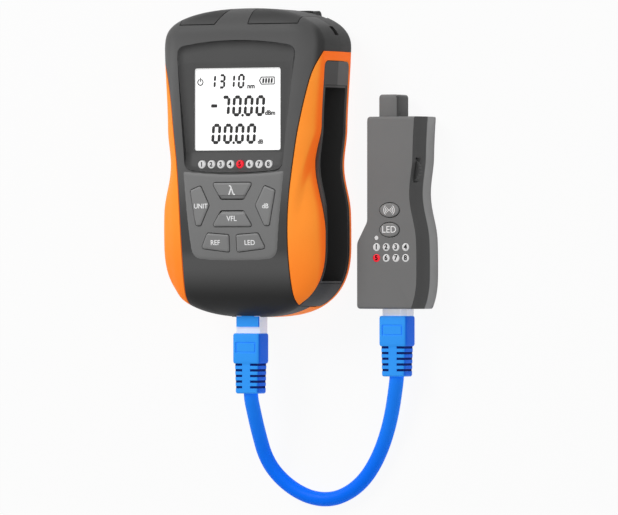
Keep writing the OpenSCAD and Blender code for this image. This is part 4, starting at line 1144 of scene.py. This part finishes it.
# ---- Keypad ----
def make_keypad():
    """The keypad panel, its six keys and their legends."""
    rim = steps_at([(0, -0.2), (0.35, 0.05), (0.9, 0.26), (1.6, 0.35)])
    panel = relief("keypad_panel", panel_outline(), rim, skin_z, 1.2)
    cut_key_rooms(panel)
    dress(panel, "panel_grey")
    edge = steps_at([(0, 0.45), (0.12, 0.66), (0.35, 0.8), (0.75, 0.88)])
    for name in KEYS:
        tilt = key_tilt(name)
        key = relief(name + "_cap", key_outline(name), edge,
                     lambda x, y, tilt=tilt: skin_z(x, y) + tilt(x, y), 5.0, 0.3)
        dress(key, "key_grey", body=name, replaces=[name])
    legends = {"key_unit": ("UNIT", -15.0, -18.6, 2.9), "key_db": ("dB", 16.1, -18.6, 2.9),
               "key_wavelength": ("λ", 0, -12.1, 5.4), "key_vfl": ("VFL", 0, -23.9, 3.1),
               "key_ref": ("REF", -8.3, -34.1, 3.0), "key_led": ("LED", 8.3, -34.1, 3.0)}
    for name, word in legends.items():
        tilt = key_tilt(name)
        on = lambda x, y, tilt=tilt: skin_z(x, y) + 0.9 + tilt(x, y)
        lettering(name + "_legend", [word], on, "legend_white", body=name,
                  weight=0.03)


def key_tilt(name):
    """The two middle keys fall away to a sloping face towards the space between them."""
    if name == "key_wavelength":
        return lambda x, y: -0.5 * smooth(-13.9, -14.3, y) - 0.35 * smooth(-14.3, -15.6, y)
    if name == "key_vfl":
        return lambda x, y: -0.5 * smooth(-22.3, -21.9, y) - 0.35 * smooth(-21.9, -20.6, y)
    return lambda x, y: 0.0


# ---- Remote: shaped where it docks, then laid where it lies ----
BUTTON_X, TONE_Y, LED_Y = 25.5, -8.2, -16.5
STATUS_X, STATUS_Y, LAMP_Y, LAMP_PITCH = 19.2, -19.9, -23.8, 4.6
REMOTE_SCREWS = ((18.6, 24.3), (13.6, -45.9))
WHEEL_Y, WHEEL_Z = 8.7, 21.9


def remote_outline(g=0.0):
    """Plan of the remote with rounded corners, g smaller, open towards the flank."""
    return rounded(remote_corners(-g, 60), [1.6, 0, 0, 1.6, 5, 5], 7)


def remote_blank(name, g=0.0, low=REMOTE_LOW_Z, top=REMOTE_TOP_Z):
    """The remote's form with rolled front and back edges, its flank cut from the meter's skin."""
    roll = 1.0
    steps = [math.pi / 2 * i / 5 for i in range(6)]
    rings = [(roll * (1 - math.sin(a)), low + roll * (1 - math.cos(a))) for a in steps]
    rings += [(roll * (1 - math.cos(a)), top - roll * (1 - math.sin(a))) for a in steps]
    blank = loft(name, [[(x, y, z) for x, y in remote_outline(g + inset)] for inset, z in rings])
    return cut(blank, body_form("flank", g, 64, remote_facet), "INTERSECT")


def remote_facet(x, y, z):
    """The remote's front facet leans in from the ridge to the front edge."""
    return -1.6 * clip((z - RIDGE_Z - 1) / 7.7, 0, 1) if x > 0 else 0.0


def oval(x, y, g=0.0):
    return disc(x, y, 4.6 + g, 3.0 + g, 48)


def remote_lamp_places():
    """Centres of the remote's eight lamps, in two rows."""
    return [(STATUS_X + LAMP_PITCH * (i % 4), LAMP_Y - LAMP_PITCH * (i // 4)) for i in range(LAMP_N)]


def make_remote():
    """The remote's hollow shells, halved near the ridge, and what they carry."""
    shell = remote_blank("remote_shell")
    cut(shell, remote_blank("remote_hollow", 1.8, REMOTE_LOW_Z + 1.8, REMOTE_TOP_Z - 1.8))
    for y in (TONE_Y, LED_Y):
        cut(shell, prism("button_room", oval(BUTTON_X, y, 0.3), 20, 40))
    for x, y in remote_lamp_places():
        cut(shell, prism("lamp_room", disc(x, y, 1.72), 20, 40))
    cut(shell, prism("status_room", disc(STATUS_X, STATUS_Y, 0.95), 20, 40))
    cut(shell, block("wheel_room", (30, WHEEL_Y - 5.2, WHEEL_Z - 1.6), (60, WHEEL_Y + 5.2, WHEEL_Z + 1.6)))
    cut(shell, block("jack_room", (16.7, -52, 10.4), (32.3, -47, 23.6)))
    cut(shell, block("tip_room", (TIP_X, 27, 11.5), (TIP_X + TIP_W, 34, 22.5)))
    rear = twin(shell)
    cut(shell, block("half", (-FAR, -FAR, -FAR), (FAR, FAR, RIDGE_Z + 0.06)))
    cut(rear, block("half", (-FAR, -FAR, RIDGE_Z - 0.06), (FAR, FAR, FAR)))
    for x, y in REMOTE_SCREWS:
        cut(rear, prism("screw_room", disc(x, y, 2.2), 7, 9.6))
    shell.name, rear.name = "remote_front_shell", "remote_rear_shell"
    dress(laid(shell), "remote_grey", replaces=["remote_front"])
    dress(laid(rear), "remote_back", replaces=["remote_rear"])
    make_tip()
    make_remote_controls()


def make_tip():
    """The probe tip: a moulded block with a parting line between its front and its side."""
    x0, x1, y0, y1 = TIP_X, TIP_X + TIP_W, REMOTE_TOP_Y - 3, REMOTE_TOP_Y + TIP_LEN
    outline = rounded([(x0, y0), (x1, y0), (x1, y1), (x0, y1)], [0, 0, 1.6, 1.6], 7)
    low, top = 11.55, 22.45
    rings = [(0.6, low), (0.18, low + 0.18), (0, low + 0.6), (0, 19.5), (0.4, 19.65), (0.4, 20.0), (0, 20.15),
             (0, top - 0.8), (0.24, top - 0.24), (0.8, top)]
    tip = loft("probe_tip_block", [[(x, y, z) for x, y in grown(outline, -inset)] for inset, z in rings])
    dress(laid(tip), "remote_grey", replaces=["probe_tip"])


def make_remote_controls():
    face = lambda x, y: REMOTE_TOP_Z
    for name, y in (("tone_button", TONE_Y), ("lamp_button", LED_Y)):
        button = pad(name + "_cap", oval(BUTTON_X, y),
                     [(0, -4.5), (0, 0.15), (0.15, 0.42), (0.6, 0.55)], face, dome=0.05)
        dress(laid(button), "key_grey", body=name, replaces=[name])
    lies = lambda x, y: REMOTE_TOP_Z + REMOTE_AT[2]
    bx, by = BUTTON_X + REMOTE_AT[0], LED_Y + REMOTE_AT[1]
    lettering("lamp_button_legend", [("LED", bx, by, 4.0)], lambda x, y: lies(x, y) + 0.57, "legend_white",
              body="lamp_button")
    waves = tone_icon(bx, TONE_Y + REMOTE_AT[1], lies(0, 0) + 0.6)
    dress(waves, "legend_white", body="tone_button")
    places = remote_lamp_places()
    lamp_discs("remote", places, 1.65, [(0, -0.05), (0.12, 0.03), (0.4, 0.06)], face, REMOTE_AT)
    lying = [(x + REMOTE_AT[0], y + REMOTE_AT[1]) for x, y in places]
    lamp_numbers("remote", lying, 2.9, lambda x, y: lies(x, y) + 0.14, 0.09)


def laid(obj):
    """Shifts a piece from the dock to where the remote lies."""
    return moved(obj, *REMOTE_AT)


def tone_icon(x, y, z):
    """Sound waves both ways from a dot."""
    parts = [prism("dot", disc(x, y, 0.35, n=16), z, z + 0.05)]
    for side in (-1, 1):
        for r in (1.0, 1.75, 2.5):
            arc = [math.radians(a) for a in range(-48, 49, 8)]
            rim = [(r + 0.14, a) for a in arc] + [(r - 0.14, a) for a in reversed(arc)]
            wave = [(x + side * reach * math.cos(a), y + reach * math.sin(a)) for reach, a in rim]
            parts.append(prism("wave", wave, z, z + 0.05))
    return join_pieces(parts, "tone_button_waves")


# ---- Solids that keep their own meshes ----
KEPT = {
    "steel": ["power_port", "vfl_port", "cover_pins", "usb_socket", "battery_contacts", "case_screws",
              "wheel_axle", "remote_cell", "remote_screws"],
    "brass": ["light_detector", "vfl_laser"],
    "jack_black": ["port_bulkhead", "meter_jack", "battery_tray", "remote_jack", "remote_speaker"],
    "board_green": ["main_board", "remote_board"],
    "white_diffuser": ["backlight", "torch_led"],
    "rubber_dark": ["keypad_mat"],
    "window_clear": ["torch_lens"],
    "case_back": ["battery_door"],
    "cell_sleeve": ["battery_cells"],
    "lamp_grey": ["status_led"],
    "bezel_grey": ["volume_wheel"],
}


def finish_kept_nodes():
    for finish, nodes in KEPT.items():
        for node in nodes:
            for mat_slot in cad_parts[node].material_slots:
                mat_slot.material = FINISH[finish]


# ---- Floor, backdrop light and lamps ----
def worked_out(tree, operation, first, second):
    """A maths node's result from sockets or numbers."""
    node = add_node(tree, "Math")
    node.operation = operation
    plug_in(node.inputs[0], first)
    plug_in(node.inputs[1], second)
    return node.outputs[0]


def background_mix(tree, shader_output, output, share):
    """Shows plain white to camera, glossy and transmission rays for that share, and keeps the shadow."""
    path = add_node(tree, "LightPath").outputs
    seen = worked_out(tree, "MAXIMUM", path["Is Camera Ray"], path["Is Glossy Ray"])
    seen = worked_out(tree, "MAXIMUM", seen, path["Is Transmission Ray"])
    white = add_node(tree, "Emission", Strength=1.0)
    mix = add_node(tree, "MixShader", Fac=worked_out(tree, "MULTIPLY", seen, share))
    plug_in(mix.inputs[1], shader_output)
    plug_in(mix.inputs[2], white.outputs[0])
    plug_in(output, mix.outputs[0])


def make_floor():
    half = 1500
    floor = block("floor", (-half, -half, -5), (half, half, 0))
    mat, tree, shader = new_material("floor_white")
    white = mixed(tree, noise(tree, 3), tint("#fbfbfb"), tint("#ffffff"))
    feed(shader, Base_Color=white, Roughness=0.9, Specular_IOR_Level=0.1)
    background_mix(tree, shader.outputs[0], tree.nodes["Material Output"].inputs["Surface"], 0.93)
    floor.data.materials.append(mat)


def make_world():
    world = bpy.data.worlds.new("studio")
    world.use_nodes = True
    tree = world.node_tree
    soft = feed(tree.nodes["Background"], Color=tint("#ffffff"), Strength=0.26)
    background_mix(tree, soft.outputs[0], tree.nodes["World Output"].inputs["Surface"], 1.0)
    bpy.context.scene.world = world


def make_lamp_panel(name, place, size, power, aim=(0.01, -0.03, 0.02)):
    data = bpy.data.lights.new(name, "AREA")
    data.shape = "RECTANGLE"
    data.size, data.size_y = size
    data.energy = power
    lamp = link(bpy.data.objects.new(name, data))
    lamp.location = place
    lamp.rotation_euler = (Vector(aim) - Vector(place)).to_track_quat("-Z", "Y").to_euler()


def main():
    make_lead()
    make_cases()
    make_grip(1, "grip_right_overmould", "grip_right")
    make_grip(-1, "grip_left_overmould", "grip_left")
    make_dock()
    make_cover_seat()
    make_cover(-1, "port_cover_left_cap", "port_cover_left")
    make_cover(1, "port_cover_right_cap", "port_cover_right")
    make_lcd()
    make_line_lamps()
    make_keypad()
    make_remote()
    finish_kept_nodes()
    make_floor()
    make_world()
    make_lamp_panel("key_light", (-0.55, 0.75, 1.0), (0.7, 0.7), 9)
    make_lamp_panel("fill_light", (0.9, 0.1, 0.9), (0.8, 0.8), 1.2)


main()
bpy.context.view_layer.update()
